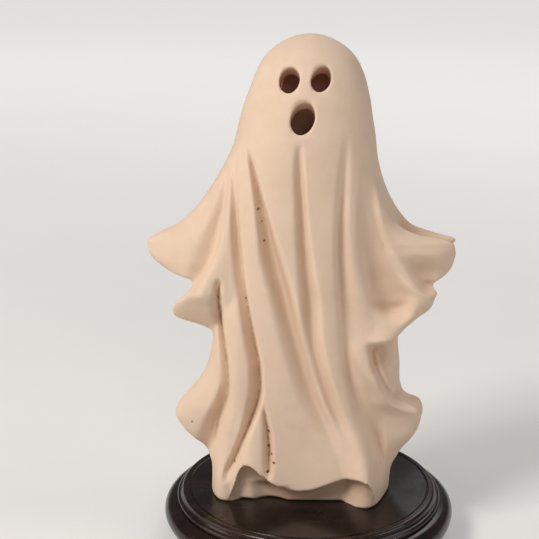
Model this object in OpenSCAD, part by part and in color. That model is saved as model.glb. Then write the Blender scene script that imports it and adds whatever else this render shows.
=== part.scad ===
// Hollow ceramic ghost that stands over an incense cone on a turned, lacquered display stand.
// Millimetres. The origin is the centre of the felt's underside; the ghost faces -Y and +Z is up.

/* [Ghost] */
// Height of the ghost above the stand
ghost_h = 180; // [120:1:260]
// Width across the two raised arms
arm_span = 120; // [90:1:170]
// Depth of the body from front to back
body_d = 48; // [44:1:70]
// Depth of the deepest fold in the cloth
fold_depth = 6; // [3:0.1:6.5]
// How far the rolled hem stands out over the foot
hem_roll = 6; // [2:0.1:8]
// Narrowest side of a crease
crease_w = 3.2; // [1.5:0.1:5]
// Wall of the head
head_wall = 7; // [4:0.1:8]
// Wall of the folded skirt, measured outside the folds
skirt_wall = 8.4; // [7.5:0.1:10]
// Wall at the foot, where the shell stands
foot_wall = 5.6; // [4.5:0.1:7]
// How far the ghost stands to the right of the middle of the stand
ghost_shift_x = -2; // [-4:0.1:4]
// How far the ghost stands behind the middle of the stand
ghost_shift_y = 2; // [0:0.1:4]

/* [Face] */
// Width of an eye
eye_w = 7.4; // [5:0.1:9]
// Height of an eye
eye_h = 9.1; // [6:0.1:10.5]
// Distance between the middles of the eyes
eye_pitch = 11.4; // [10:0.1:13]
// How far the eyes lie below the top of the head
eye_drop = 14.6; // [12:0.1:18]
// How much higher the right eye lies than the left one
eye_rise = 0.6; // [0:0.1:1.5]
// How far the middle of the face lies to the right of the head's axis
face_shift = -0.4; // [-2:0.1:2]
// Width of the mouth
mouth_w = 8.9; // [6:0.1:11]
// Height of the mouth
mouth_h = 11.9; // [8:0.1:13]
// How far the mouth lies below the eyes
mouth_drop = 13.4; // [12.5:0.1:15]
// How far the mouth lies to the right of the middle of the face
mouth_shift = -0.8; // [-2:0.1:2]
// How much lower the face's holes come out inside the wall
hole_fall = 2.4; // [1:0.1:4]
// How much closer to the middle each eye comes out inside the wall
hole_toe_in = 0.4; // [0:0.1:1.2]

/* [Stand] */
// Diameter of the stand at its widest ring
stand_dia = 116; // [112:1:140]
// Diameter of the raised top that the ghost stands on
plateau_dia = 102; // [90:1:104]
// Height of the turned stand without its felt
stand_h = 20; // [18:1:40]
// Depth of the recess for the dish
recess_depth = 2.4; // [1:0.1:4]
// Diameter of the stand's foot
foot_dia = 108; // [100:1:112]
// Diameter of the felt under the stand
felt_dia = 96; // [60:1:100]
// Thickness of the felt
felt_t = 1.2; // [0.8:0.1:3]

/* [Incense] */
// Diameter of the dish
dish_dia = 17; // [13:0.1:18]
// Height of the dish
dish_h = 5; // [3:0.1:7]
// Floor of the dish
dish_floor = 1.2; // [0.8:0.1:1.6]
// Wall of the dish
dish_wall = 1.4; // [0.8:0.1:1.8]
// Gap round the dish in its recess
dish_gap = 0.3; // [0.2:0.1:0.6]
// Diameter of the incense cone at its foot
cone_dia = 9; // [6:0.1:9.2]
// Height of the incense cone
cone_h = 25; // [15:1:40]

/* [Hidden] */
$fn = 96;

stand_z = felt_t;
plateau_z = stand_z + stand_h;
half_span = arm_span / 2;
half_depth = body_d / 2;

// Heights are shares of ghost_h, counted up from the stand, in the tables of the ghost.
// The dome of the head is an ellipse over the last part of the height
dome_share = 0.22;
// Half widths of the body without its arms and tiers: height, share of half_span
left_shares = [
    [0, 0.615], [0.05, 0.61], [0.15, 0.60], [0.45, 0.60], [0.50, 0.592], [0.55, 0.583], [0.60, 0.567],
    [0.65, 0.542], [0.70, 0.508], [0.74, 0.48], [0.77, 0.458], [0.80, 0.436], [0.84, 0.423],
    [0.88, 0.422], [0.92, 0.435], [0.97, 0.462], [1, 0.45]];
right_shares = [
    [0, 0.573], [0.04, 0.58], [0.08, 0.59], [0.15, 0.60], [0.25, 0.61], [0.33, 0.61], [0.40, 0.605],
    [0.45, 0.592], [0.50, 0.575], [0.55, 0.553], [0.60, 0.53], [0.64, 0.51], [0.68, 0.487],
    [0.72, 0.465], [0.77, 0.443], [0.80, 0.434], [0.84, 0.423], [0.88, 0.422], [0.92, 0.435],
    [0.97, 0.462], [1, 0.45]];
// Half depths of the body: height, share of half_depth in front, share behind
depth_shares = [
    [0, 0.75, 1.00], [0.03, 0.765, 1.00], [0.10, 0.86, 1.01], [0.20, 0.94, 1.04], [0.35, 0.99, 1.06],
    [0.50, 1.00, 1.07], [0.60, 1.00, 1.05], [0.70, 0.975, 1.00], [0.80, 0.94, 0.95],
    [0.84, 0.925, 0.925], [0.88, 0.93, 0.93], [0.92, 0.96, 0.96], [1, 1.04, 1.04]];
// How far the head leans to the right: height, share of half_span
lean_shares = [[0, 0], [0.80, 0], [0.92, 0.02], [1, 0.023]];
// How square the cross-section is: height, exponent of its outline
square_shares = [[0, 3.0], [0.15, 2.7], [0.35, 2.4], [0.60, 2.25], [0.80, 2.1], [1, 2.0]];
// Thickness of the wall: height, share from foot_wall to skirt_wall, share from there to head_wall
wall_shares = [[0, 0, 0], [0.10, 0.6, 0], [0.20, 1, 0], [0.62, 1, 0], [0.80, 1, 1], [1, 1, 1]];

// Arms and tiers of the cloth. Each row: height, angle in degrees from the right side towards
// the front, reach as a share of half_span, stand-forward as a share of fold_depth, half spread
// in degrees. A reach below zero points to the left.
left_arm_shares = [
    [0.452, 178, 0, 0, 20], [0.469, 178, -0.05, 0, 20], [0.483, 178, -0.125, 0, 21],
    [0.495, 178, -0.28, 0, 22], [0.511, 178, -0.355, 0, 23], [0.527, 178, -0.405, 0, 24],
    [0.543, 178, -0.425, 0, 24], [0.56, 178, -0.43, 0, 24], [0.577, 178, -0.373, 0, 24],
    [0.595, 178, -0.265, 0, 25], [0.61, 178, -0.213, 0, 26], [0.63, 178, -0.157, 0, 28],
    [0.665, 178, -0.097, 0, 32], [0.70, 178, -0.055, 0, 38], [0.75, 178, -0.01, 0, 45],
    [0.77, 178, 0, 0, 45]];
left_tier_shares = [
    [0.366, 170, 0, 0, 9], [0.374, 170, -0.045, 0, 9], [0.384, 169, -0.115, 0, 10],
    [0.391, 168, -0.18, 0.05, 11], [0.403, 166, -0.25, 0.1, 13], [0.421, 163, -0.270, 0.2, 17],
    [0.439, 161, -0.253, 0.4, 20], [0.456, 158, -0.205, 0.55, 23], [0.472, 156, -0.165, 0.7, 24],
    [0.50, 154, -0.108, 0.75, 23], [0.53, 153, -0.06, 0.7, 22], [0.57, 152, -0.02, 0.6, 20],
    [0.64, 152, -0.005, 0.4, 18], [0.72, 150, 0, 0, 16]];
left_flare_shares = [
    [0.03, 174, 0, 0, 26], [0.057, 174, -0.004, 0, 26], [0.076, 174, -0.028, 0, 27],
    [0.095, 174, -0.067, 0, 28], [0.114, 174, -0.132, 0, 29], [0.133, 174, -0.192, 0, 29],
    [0.153, 174, -0.232, 0, 29], [0.17, 174, -0.252, 0, 29], [0.19, 174, -0.238, 0, 29],
    [0.21, 174, -0.195, 0, 28], [0.23, 174, -0.145, 0, 27], [0.25, 174, -0.093, 0, 26],
    [0.27, 174, -0.057, 0, 25], [0.305, 174, -0.02, 0, 24], [0.34, 174, 0, 0, 24]];
right_arm_shares = [
    [0.42, 6, 0, 0, 17], [0.44, 6, 0.055, 0, 17], [0.457, 7, 0.11, 0, 18], [0.475, 7, 0.21, 0, 19],
    [0.493, 7, 0.325, 0, 21], [0.511, 7, 0.37, 0, 22], [0.53, 8, 0.392, 0, 23],
    [0.545, 9, 0.405, 0, 23], [0.556, 9, 0.405, 0, 23], [0.564, 10, 0.385, 0.05, 23],
    [0.572, 11, 0.335, 0.1, 23], [0.58, 12, 0.275, 0.15, 22], [0.59, 14, 0.205, 0.2, 21],
    [0.602, 16, 0.145, 0.25, 20], [0.618, 18, 0.09, 0.3, 19], [0.635, 20, 0.055, 0.25, 18],
    [0.66, 22, 0.02, 0.15, 16], [0.70, 24, 0, 0, 14]];
right_arm_back_shares = [
    [0.42, -20, 0, 0, 19], [0.44, -20, 0.045, 0, 19], [0.457, -20, 0.10, 0, 19],
    [0.475, -20, 0.205, 0, 19], [0.493, -19, 0.32, 0, 19], [0.511, -18, 0.37, 0, 19],
    [0.53, -17, 0.40, 0, 16], [0.545, -16, 0.43, 0, 13], [0.555, -15, 0.442, 0, 12],
    [0.57, -15, 0.305, 0, 12], [0.588, -13, 0.17, 0, 16], [0.605, -10, 0.12, 0, 21],
    [0.634, -8, 0.068, 0, 26], [0.668, -6, 0.032, 0, 28], [0.70, -2, 0.012, 0, 32],
    [0.74, 0, 0, 0, 36]];
right_tier_shares = [
    [0.362, 20, 0, 0, 24], [0.374, 21, 0.012, 0.1, 24], [0.393, 22, 0.07, 0.2, 25],
    [0.411, 23, 0.148, 0.3, 25], [0.43, 24, 0.228, 0.4, 25], [0.448, 25, 0.262, 0.55, 25],
    [0.463, 25, 0.257, 0.7, 24], [0.472, 26, 0.215, 0.8, 22], [0.486, 27, 0.15, 0.9, 20],
    [0.508, 28, 0.09, 0.85, 19], [0.54, 29, 0.045, 0.7, 19], [0.57, 30, 0.015, 0.52, 19],
    [0.605, 31, 0, 0.4, 18], [0.66, 33, 0, 0.2, 16], [0.74, 35, 0, 0, 14]];
right_flare_shares = [
    [0.02, 14, 0, 0, 22], [0.042, 14, 0.002, 0, 22], [0.062, 14, 0.012, 0, 22],
    [0.081, 14, 0.035, 0, 23], [0.10, 13, 0.062, 0, 24], [0.12, 13, 0.108, 0, 25],
    [0.139, 13, 0.143, 0, 25], [0.159, 12, 0.163, 0.1, 25], [0.178, 12, 0.172, 0.2, 24],
    [0.186, 13, 0.155, 0.3, 22], [0.194, 15, 0.06, 0.35, 20], [0.21, 20, 0.02, 0.4, 18],
    [0.232, 30, 0, 0.45, 17], [0.273, 43, 0, 0.4, 16], [0.316, 51, 0, 0.3, 15],
    [0.352, 56, 0, 0, 14]];
right_flare_back_shares = [
    [0.02, -10, 0, 0, 18], [0.042, -10, 0.002, 0, 18], [0.062, -10, 0.012, 0, 18],
    [0.081, -10, 0.035, 0, 18], [0.10, -10, 0.062, 0, 18], [0.12, -10, 0.108, 0, 18],
    [0.139, -10, 0.143, 0, 18], [0.159, -10, 0.165, 0, 18], [0.176, -9, 0.174, 0, 17],
    [0.188, -8, 0.172, 0, 16], [0.202, -6, 0.088, 0, 15], [0.215, -4, 0.052, 0, 15],
    [0.234, -2, 0.03, 0, 15], [0.253, 0, 0.018, 0, 15], [0.29, 0, 0.016, 0, 15],
    [0.32, 0, 0.005, 0, 15], [0.34, 0, 0, 0, 15]];
fin_shares = [
    left_arm_shares, left_tier_shares, left_flare_shares, right_arm_shares, right_arm_back_shares,
    right_tier_shares, right_flare_shares, right_flare_back_shares];

// Folds. Each row: height, place as a share of half_span, depth as a share of fold_depth (below
// zero is a ridge), width to the left and to the right as shares of half_span.
long_fold_shares = [
    [0.12, 0.215, 0, 0.06, 0.05], [0.15, 0.178, 0.15, 0.07, 0.055], [0.18, 0.143, 0.35, 0.09, 0.06],
    [0.235, 0.072, 0.6, 0.105, 0.07], [0.29, 0.015, 0.75, 0.11, 0.08], [0.36, -0.045, 0.85, 0.11, 0.09],
    [0.425, -0.097, 0.92, 0.105, 0.09], [0.49, -0.143, 1.0, 0.105, 0.088], [0.54, -0.187, 1.0, 0.10, 0.085],
    [0.593, -0.225, 0.95, 0.08, 0.068], [0.645, -0.258, 0.85, 0.058, 0.048],
    [0.68, -0.282, 0.75, 0.045, 0.035], [0.716, -0.308, 0.6, 0.035, 0.03],
    [0.75, -0.332, 0.4, 0.025, 0.022], [0.78, -0.352, 0, 0.02, 0.02]];
middle_fold_shares = [
    [0.10, 0.355, 0, 0.05, 0.06], [0.14, 0.305, 0.12, 0.05, 0.06], [0.188, 0.238, 0.35, 0.055, 0.07],
    [0.244, 0.165, 0.6, 0.06, 0.075], [0.30, 0.105, 0.65, 0.066, 0.08], [0.355, 0.062, 0.7, 0.07, 0.08],
    [0.41, 0.035, 0.72, 0.07, 0.085], [0.465, 0.022, 0.75, 0.066, 0.088], [0.51, 0.008, 0.7, 0.062, 0.075],
    [0.595, -0.013, 0.65, 0.058, 0.055], [0.66, -0.026, 0.6, 0.05, 0.045], [0.72, -0.034, 0.5, 0.05, 0.04],
    [0.76, -0.038, 0.35, 0.045, 0.035], [0.797, -0.035, 0, 0.04, 0.03]];
right_fold_shares = [
    [0.15, 0.41, 0, 0.06, 0.07], [0.20, 0.365, 0.35, 0.06, 0.08], [0.25, 0.328, 0.55, 0.06, 0.08],
    [0.306, 0.288, 0.6, 0.055, 0.08], [0.34, 0.27, 0.6, 0.055, 0.09], [0.378, 0.258, 0.6, 0.055, 0.13],
    [0.41, 0.25, 0.6, 0.055, 0.165], [0.442, 0.243, 0.6, 0.055, 0.15], [0.476, 0.235, 0.6, 0.055, 0.12],
    [0.506, 0.23, 0.62, 0.055, 0.10], [0.57, 0.22, 0.6, 0.055, 0.075], [0.635, 0.221, 0.5, 0.055, 0.055],
    [0.70, 0.23, 0.35, 0.055, 0.05], [0.75, 0.238, 0.2, 0.05, 0.045], [0.78, 0.242, 0.1, 0.045, 0.045],
    [0.81, 0.245, 0, 0.04, 0.04]];
pocket_fold_shares = [
    [0.405, 0.575, 0, 0.14, 0.10], [0.416, 0.57, 0.45, 0.145, 0.11], [0.428, 0.56, 0.88, 0.15, 0.13],
    [0.448, 0.548, 1.0, 0.15, 0.155], [0.47, 0.53, 1.0, 0.155, 0.18], [0.50, 0.495, 0.95, 0.145, 0.165],
    [0.54, 0.452, 0.85, 0.13, 0.13], [0.585, 0.417, 0.7, 0.11, 0.10], [0.63, 0.397, 0.55, 0.09, 0.08],
    [0.67, 0.388, 0.4, 0.08, 0.065], [0.70, 0.382, 0.25, 0.07, 0.06], [0.76, 0.378, 0, 0.06, 0.05]];
right_foot_fold_shares = [
    [0.03, 0.51, 0, 0.06, 0.035], [0.06, 0.507, 0.3, 0.065, 0.035], [0.095, 0.50, 0.55, 0.075, 0.04],
    [0.13, 0.49, 0.75, 0.085, 0.045], [0.16, 0.465, 0.8, 0.09, 0.06], [0.185, 0.44, 0.7, 0.085, 0.085],
    [0.21, 0.405, 0.5, 0.07, 0.10], [0.235, 0.375, 0.25, 0.065, 0.09], [0.27, 0.345, 0, 0.06, 0.07]];
right_arm_fold_shares = [
    [0.463, 0.82, 0, 0.05, 0.05], [0.474, 0.79, 0.9, 0.06, 0.05], [0.495, 0.728, 0.8, 0.065, 0.10],
    [0.52, 0.672, 0.6, 0.055, 0.12], [0.54, 0.632, 0.4, 0.05, 0.11], [0.558, 0.60, 0.2, 0.045, 0.09],
    [0.58, 0.56, 0, 0.04, 0.06]];
right_flare_fold_shares = [
    [0.20, 0.72, 0, 0.05, 0.04], [0.22, 0.69, 0.35, 0.06, 0.045], [0.25, 0.625, 0.55, 0.07, 0.05],
    [0.28, 0.56, 0.6, 0.075, 0.05], [0.311, 0.517, 0.6, 0.075, 0.055], [0.335, 0.50, 0.55, 0.075, 0.055],
    [0.36, 0.495, 0.4, 0.07, 0.055], [0.39, 0.49, 0, 0.06, 0.05]];
left_arm_fold_shares = [
    [0.46, -0.70, 0, 0.09, 0.04], [0.485, -0.685, 0.6, 0.10, 0.04], [0.53, -0.63, 0.7, 0.10, 0.04],
    [0.577, -0.58, 0.7, 0.09, 0.04], [0.62, -0.54, 0.7, 0.075, 0.04], [0.66, -0.51, 0.6, 0.06, 0.04],
    [0.70, -0.495, 0.35, 0.045, 0.035], [0.735, -0.49, 0, 0.04, 0.035]];
left_tier_fold_shares = [
    [0.06, -0.66, 0, 0.10, 0.03], [0.09, -0.625, 0.5, 0.13, 0.035], [0.124, -0.588, 0.8, 0.14, 0.035],
    [0.15, -0.57, 0.9, 0.13, 0.035], [0.18, -0.548, 0.95, 0.11, 0.03], [0.22, -0.507, 0.95, 0.09, 0.03],
    [0.26, -0.49, 0.9, 0.07, 0.025], [0.31, -0.498, 0.85, 0.06, 0.025], [0.36, -0.518, 0.8, 0.05, 0.025],
    [0.41, -0.537, 0.75, 0.045, 0.025], [0.455, -0.546, 0.75, 0.04, 0.025], [0.488, -0.542, 0.5, 0.035, 0.025],
    [0.503, -0.54, 0, 0.03, 0.025]];
left_fold_shares = [
    [0.04, -0.51, 0, 0.04, 0.04], [0.067, -0.487, 0.4, 0.045, 0.035], [0.10, -0.438, 0.6, 0.05, 0.035],
    [0.15, -0.382, 0.7, 0.055, 0.035], [0.182, -0.345, 0.85, 0.065, 0.035],
    [0.221, -0.305, 0.95, 0.08, 0.035], [0.259, -0.283, 1.0, 0.085, 0.03],
    [0.309, -0.288, 0.95, 0.08, 0.03], [0.365, -0.317, 0.85, 0.075, 0.03],
    [0.415, -0.345, 0.75, 0.07, 0.03], [0.478, -0.376, 0.65, 0.065, 0.03],
    [0.54, -0.402, 0.6, 0.06, 0.03], [0.605, -0.42, 0.55, 0.055, 0.03],
    [0.66, -0.432, 0.45, 0.045, 0.03], [0.71, -0.442, 0.25, 0.035, 0.03], [0.77, -0.434, 0, 0.03, 0.03]];
short_crease_shares = [
    [0.06, -0.225, 0, 0.03, 0.03], [0.08, -0.222, 0.5, 0.05, 0.035], [0.12, -0.222, 0.65, 0.055, 0.04],
    [0.157, -0.23, 0.6, 0.05, 0.04], [0.195, -0.243, 0.35, 0.035, 0.03], [0.24, -0.265, 0, 0.02, 0.02]];
left_foot_shares = [
    [0, -0.555, -1.1, 0.11, 0.16], [0.04, -0.55, -1.0, 0.11, 0.15], [0.09, -0.535, -0.6, 0.10, 0.13],
    [0.15, -0.50, -0.35, 0.10, 0.11], [0.22, -0.455, -0.3, 0.10, 0.11], [0.35, -0.45, -0.2, 0.10, 0.09],
    [0.48, -0.46, 0, 0.08, 0.08]];
right_foot_shares = [
    [0, 0.44, -1.4, 0.24, 0.15], [0.04, 0.45, -1.3, 0.22, 0.14], [0.09, 0.42, -0.9, 0.20, 0.13],
    [0.144, 0.345, -0.55, 0.17, 0.12], [0.20, 0.28, -0.35, 0.14, 0.11], [0.30, 0.18, -0.2, 0.12, 0.10],
    [0.45, 0.12, -0.1, 0.10, 0.09], [0.62, 0.07, 0, 0.10, 0.09]];
hem_hollow_shares = [
    [0, -0.05, 0.55, 0.40, 0.40], [0.03, -0.05, 0.5, 0.40, 0.40], [0.08, -0.05, 0, 0.40, 0.40]];
// Folds behind, as seen from the front
back_long_fold_shares = [
    [0.10, -0.10, 0, 0.09, 0.06], [0.16, -0.08, 0.3, 0.09, 0.06], [0.25, -0.03, 0.6, 0.10, 0.06],
    [0.36, 0.05, 0.7, 0.10, 0.06], [0.48, 0.12, 0.75, 0.10, 0.06], [0.60, 0.19, 0.6, 0.08, 0.05],
    [0.70, 0.24, 0.35, 0.05, 0.04], [0.78, 0.26, 0, 0.04, 0.04]];
back_middle_fold_shares = [
    [0.08, -0.32, 0, 0.07, 0.06], [0.15, -0.27, 0.25, 0.07, 0.06], [0.27, -0.19, 0.45, 0.07, 0.06],
    [0.40, -0.11, 0.5, 0.07, 0.06], [0.55, -0.06, 0.5, 0.06, 0.06], [0.68, -0.03, 0.4, 0.05, 0.05],
    [0.77, -0.02, 0, 0.04, 0.04]];
back_left_fold_shares = [
    [0.09, -0.52, 0, 0.07, 0.06], [0.17, -0.47, 0.5, 0.08, 0.06], [0.28, -0.40, 0.6, 0.08, 0.06],
    [0.40, -0.35, 0.6, 0.08, 0.06], [0.52, -0.32, 0.6, 0.08, 0.06], [0.63, -0.29, 0.4, 0.06, 0.05],
    [0.75, -0.27, 0, 0.04, 0.04]];
back_right_fold_shares = [
    [0.05, 0.42, 0, 0.06, 0.07], [0.12, 0.38, 0.5, 0.06, 0.08], [0.22, 0.33, 0.75, 0.06, 0.09],
    [0.33, 0.34, 0.8, 0.06, 0.09], [0.44, 0.38, 0.7, 0.06, 0.09], [0.56, 0.41, 0.5, 0.05, 0.07],
    [0.66, 0.43, 0.3, 0.04, 0.05], [0.74, 0.42, 0, 0.04, 0.04]];
back_pocket_fold_shares = [
    [0.40, -0.60, 0, 0.13, 0.16], [0.43, -0.57, 0.6, 0.13, 0.16], [0.47, -0.53, 0.8, 0.13, 0.14],
    [0.53, -0.48, 0.75, 0.11, 0.12], [0.60, -0.44, 0.5, 0.09, 0.09], [0.70, -0.40, 0, 0.06, 0.06]];
back_left_foot_shares = [
    [0, -0.42, -0.7, 0.16, 0.18], [0.05, -0.42, -0.6, 0.16, 0.18], [0.12, -0.38, -0.3, 0.14, 0.16],
    [0.22, -0.32, 0, 0.12, 0.12]];
back_right_foot_shares = [
    [0, 0.36, -0.6, 0.16, 0.16], [0.05, 0.36, -0.5, 0.16, 0.16], [0.12, 0.30, -0.3, 0.14, 0.14],
    [0.22, 0.24, 0, 0.12, 0.12]];
// Each fold with its side (1 in front, -1 behind) and the shape of its bottom: 1 is a crease, 2 is round
fold_shares = [
    [1, 1.8, long_fold_shares], [1, 1.6, middle_fold_shares], [1, 1.6, right_fold_shares],
    [1, 2.4, pocket_fold_shares], [1, 1.6, right_arm_fold_shares], [1, 1.6, right_flare_fold_shares],
    [1, 1.8, right_foot_fold_shares], [1, 1.4, left_arm_fold_shares],
    [1, 1.5, left_tier_fold_shares], [1, 1.6, left_fold_shares], [1, 1.3, short_crease_shares],
    [1, 2, left_foot_shares], [1, 2, right_foot_shares], [1, 2.6, hem_hollow_shares],
    [-1, 1.3, back_long_fold_shares], [-1, 1.6, back_middle_fold_shares], [-1, 1.4, back_left_fold_shares],
    [-1, 1.4, back_right_fold_shares], [-1, 1.8, back_pocket_fold_shares],
    [-1, 2, back_left_foot_shares], [-1, 2, back_right_foot_shares]];

// Rolled edges. Each row: place as a share of half_span, height of the edge, stand-out as a share of hem_roll
front_hem_shares = [
    [-0.50, 0, 0], [-0.46, 0.025, 0.3], [-0.42, 0.065, 0.65], [-0.395, 0.088, 0.8], [-0.363, 0.095, 0.9],
    [-0.33, 0.083, 0.95], [-0.297, 0.063, 0.9], [-0.205, 0.041, 0.85], [-0.12, 0.035, 0.85],
    [-0.02, 0.045, 0.85], [0.093, 0.055, 0.85], [0.192, 0.063, 0.8], [0.26, 0.077, 0.65],
    [0.30, 0.085, 0.5], [0.335, 0.082, 0.35], [0.38, 0.06, 0.2], [0.43, 0.03, 0.08], [0.47, 0, 0]];
back_hem_shares = [
    [-0.54, 0, 0], [-0.48, 0.02, 0.3], [-0.40, 0.045, 0.6], [-0.28, 0.08, 0.7], [-0.10, 0.06, 0.7],
    [0.02, 0.045, 0.7], [0.16, 0.075, 0.7], [0.28, 0.07, 0.6], [0.38, 0.04, 0.5], [0.46, 0.02, 0.2],
    [0.52, 0, 0]];
right_tier_edge_shares = [
    [0.25, 0.380, 0], [0.31, 0.378, 0.2], [0.38, 0.377, 0.5], [0.45, 0.377, 0.85], [0.52, 0.377, 1.0],
    [0.60, 0.381, 0.9], [0.67, 0.392, 0.5], [0.73, 0.41, 0]];
pocket_crease_shares = [
    [0.35, 0.46, 0], [0.40, 0.444, -0.3], [0.46, 0.429, -0.5], [0.53, 0.42, -0.5],
    [0.60, 0.427, -0.35], [0.67, 0.445, 0]];
back_tier_edge_shares = [
    [-0.70, 0.35, 0], [-0.62, 0.35, 0.4], [-0.52, 0.355, 0.6], [-0.40, 0.365, 0.6], [-0.28, 0.375, 0.4],
    [-0.16, 0.385, 0]];
// Each edge with its side, the share of the height that it turns in over, and the share that it swells over
edge_shares = [
    [1, 0.010, 0.14, front_hem_shares], [-1, 0.010, 0.14, back_hem_shares],
    [1, 0.026, 0.055, right_tier_edge_shares], [1, 0.018, 0.02, pocket_crease_shares],
    [-1, 0.016, 0.07, back_tier_edge_shares]];

// Rows of points below the dome, outside and inside: from height, to height, steps
row_shares = [
    [0, 0.08, 6], [0.08, 0.17, 6], [0.17, 0.22, 5], [0.22, 0.33, 6], [0.33, 0.40, 6], [0.40, 0.45, 3],
    [0.45, 0.50, 5], [0.50, 0.55, 3], [0.55, 0.60, 6], [0.60, 0.78, 10]];
inner_row_shares = [[0, 0.20, 4], [0.20, 0.78, 6]];
// Least distance between a point and the rim of a hole, as a share of the hole's steps
least_share = 0.001;
// Rows in the dome, and which of them cross the middles of the mouth and of the eyes
dome_rows = 20;
mouth_row = 4;
eye_row = 9;
// Columns of points round the body, and which of them cross the middles of the eyes and of the mouth
right_eye_column = 21;
mouth_column = 24;
left_eye_column = 27;
side_columns = [[0, -34], [14, 36]];
far_columns = [[34, 150], [43, 200], [56, 326]];
columns = 56;
// Steps from the middle of a face hole to its edge
hole_steps = 2;

// A table's value at q: straight cubic pieces that never overshoot the rows
function place(t, q, i = 0) = i >= len(t) - 2 || q < t[i + 1][0] ? i : place(t, q, i + 1);
function rise(t, i, k) = (t[i + 1][k] - t[i][k]) / (t[i + 1][0] - t[i][0]);
function slope(t, i, k) =
    i == 0 ? rise(t, 0, k)
    : i == len(t) - 1 ? rise(t, i - 1, k)
    : let (a = rise(t, i - 1, k), b = rise(t, i, k), p = t[i][0] - t[i - 1][0], r = t[i + 1][0] - t[i][0])
        a * b <= 0 ? 0 : 3 * (p + r) / ((2 * r + p) / a + (r + 2 * p) / b);
function smooth(t, q, k = 1) =
    let (
        s = min(max(q, t[0][0]), t[len(t) - 1][0]),
        i = place(t, s),
        h = t[i + 1][0] - t[i][0],
        u = (s - t[i][0]) / h,
        v = 1 - u
    )
    v * v * (1 + 2 * u) * t[i][k] + u * u * (1 + 2 * v) * t[i + 1][k]
    + u * v * h * (v * slope(t, i, k) - u * slope(t, i + 1, k));
function ease(a, b, q) = let (u = min(max((q - a) / (b - a), 0), 1)) u * u * (3 - 2 * u);
function bell(u, p) = pow(1 - pow(min(abs(u), 1), p), 2);
function within(t, q) = q >= t[0][0] && q <= t[len(t) - 1][0];
function sum(v, i = 0) = i >= len(v) ? 0 : v[i] + sum(v, i + 1);

// What one height gives to every point on it, in millimetres
function section(z) =
    let (
        u = max(z - (1 - dome_share), 0) / dome_share,
        w = smooth(wall_shares, z),
        head = smooth(wall_shares, z, 2)
    )
    [
        z,
        sqrt(max(1 - u * u, 0)),
        half_span * smooth(left_shares, z),
        half_span * smooth(right_shares, z),
        half_depth * smooth(depth_shares, z, 1),
        half_depth * smooth(depth_shares, z, 2),
        half_span * smooth(lean_shares, z),
        2 / smooth(square_shares, z),
        foot_wall + (skirt_wall - foot_wall) * w + (head_wall - skirt_wall) * head,
        [for (t = fin_shares) if (within(t, z))
            [smooth(t, z, 1), half_span * smooth(t, z, 2), fold_depth * smooth(t, z, 3), smooth(t, z, 4)]],
        [for (f = fold_shares) if (within(f[2], z))
            [f[0], f[1], half_span * smooth(f[2], z, 1), fold_depth * smooth(f[2], z, 2),
                max(crease_w, half_span * smooth(f[2], z, 3)), max(crease_w, half_span * smooth(f[2], z, 4))]]
    ];
function power(c, e) = sign(c) * pow(abs(c), e);
// A point of the plain body, drawn in by a wall
function body_point(s, angle, wall = 0) =
    let (c = cos(angle), d = sin(angle))
    [
        power(c, s[7]) * ((c < 0 ? s[2] : s[3]) - wall) * s[1] + s[6],
        -power(d, s[7]) * ((d > 0 ? s[4] : s[5]) - wall) * s[1]
    ];
function turn_between(a, b) = let (d = (a - b) % 360) d > 180 ? d - 360 : d < -180 ? d + 360 : d;
// A point of the draped outside
function cloth_point(s, angle) =
    let (
        p = body_point(s, angle),
        d = sin(angle),
        x = p[0] + sum([for (f = s[9]) f[1] * bell(turn_between(angle, f[0]) / f[3], 2)]),
        forward = sum([for (f = s[9]) f[2] * bell(turn_between(angle, f[0]) / f[3], 2)]),
        side = d > 0 ? 1 : -1,
        fade = ease(0, 0.25, abs(d)),
        inward = sum([for (f = s[10]) if (f[0] == side)
            f[3] * bell((x - f[2]) / (x < f[2] ? f[4] : f[5]), f[1])]),
        outward = sum([for (e = edge_shares) if (e[0] == side && within(e[3], x / half_span))
            let (v = s[0] - smooth(e[3], x / half_span))
            hem_roll * smooth(e[3], x / half_span, 2) * ease(-e[1], 0, v) * (1 - ease(0, e[2], v))])
    )
    [x, p[1] - forward + side * fade * (inward - outward), s[0] * ghost_h];
function lining_point(s, angle) =
    let (p = body_point(s, angle, s[8])) [p[0], p[1], s[0] * (ghost_h - head_wall)];

// Heights of the rows, with the mouth's and the eyes' rows on their own heights
function dome_angle(z, h) = asin((z / h - 1 + dome_share) / dome_share);
function dome_knots(drop, h) = [
    [0, 0], [mouth_row, dome_angle(ghost_h - eye_drop - mouth_drop - drop, h)],
    [eye_row, dome_angle(ghost_h - eye_drop - drop, h)], [dome_rows, 90]];
function rows(bands, knots) = concat(
    [for (b = bands) for (i = [0 : b[2] - 1]) b[0] + (b[1] - b[0]) * i / b[2]],
    [for (i = [0 : dome_rows - 1]) 1 - dome_share + dome_share * sin(smooth(knots, i))]);
// The angle round the body at which the front has a given x
function angle_at(s, x, wall) =
    let (u = x - s[6], a = ((u < 0 ? s[2] : s[3]) - wall) * s[1])
    acos(power(min(abs(u) / a, 1) * sign(u), 1 / s[7]));
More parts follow.
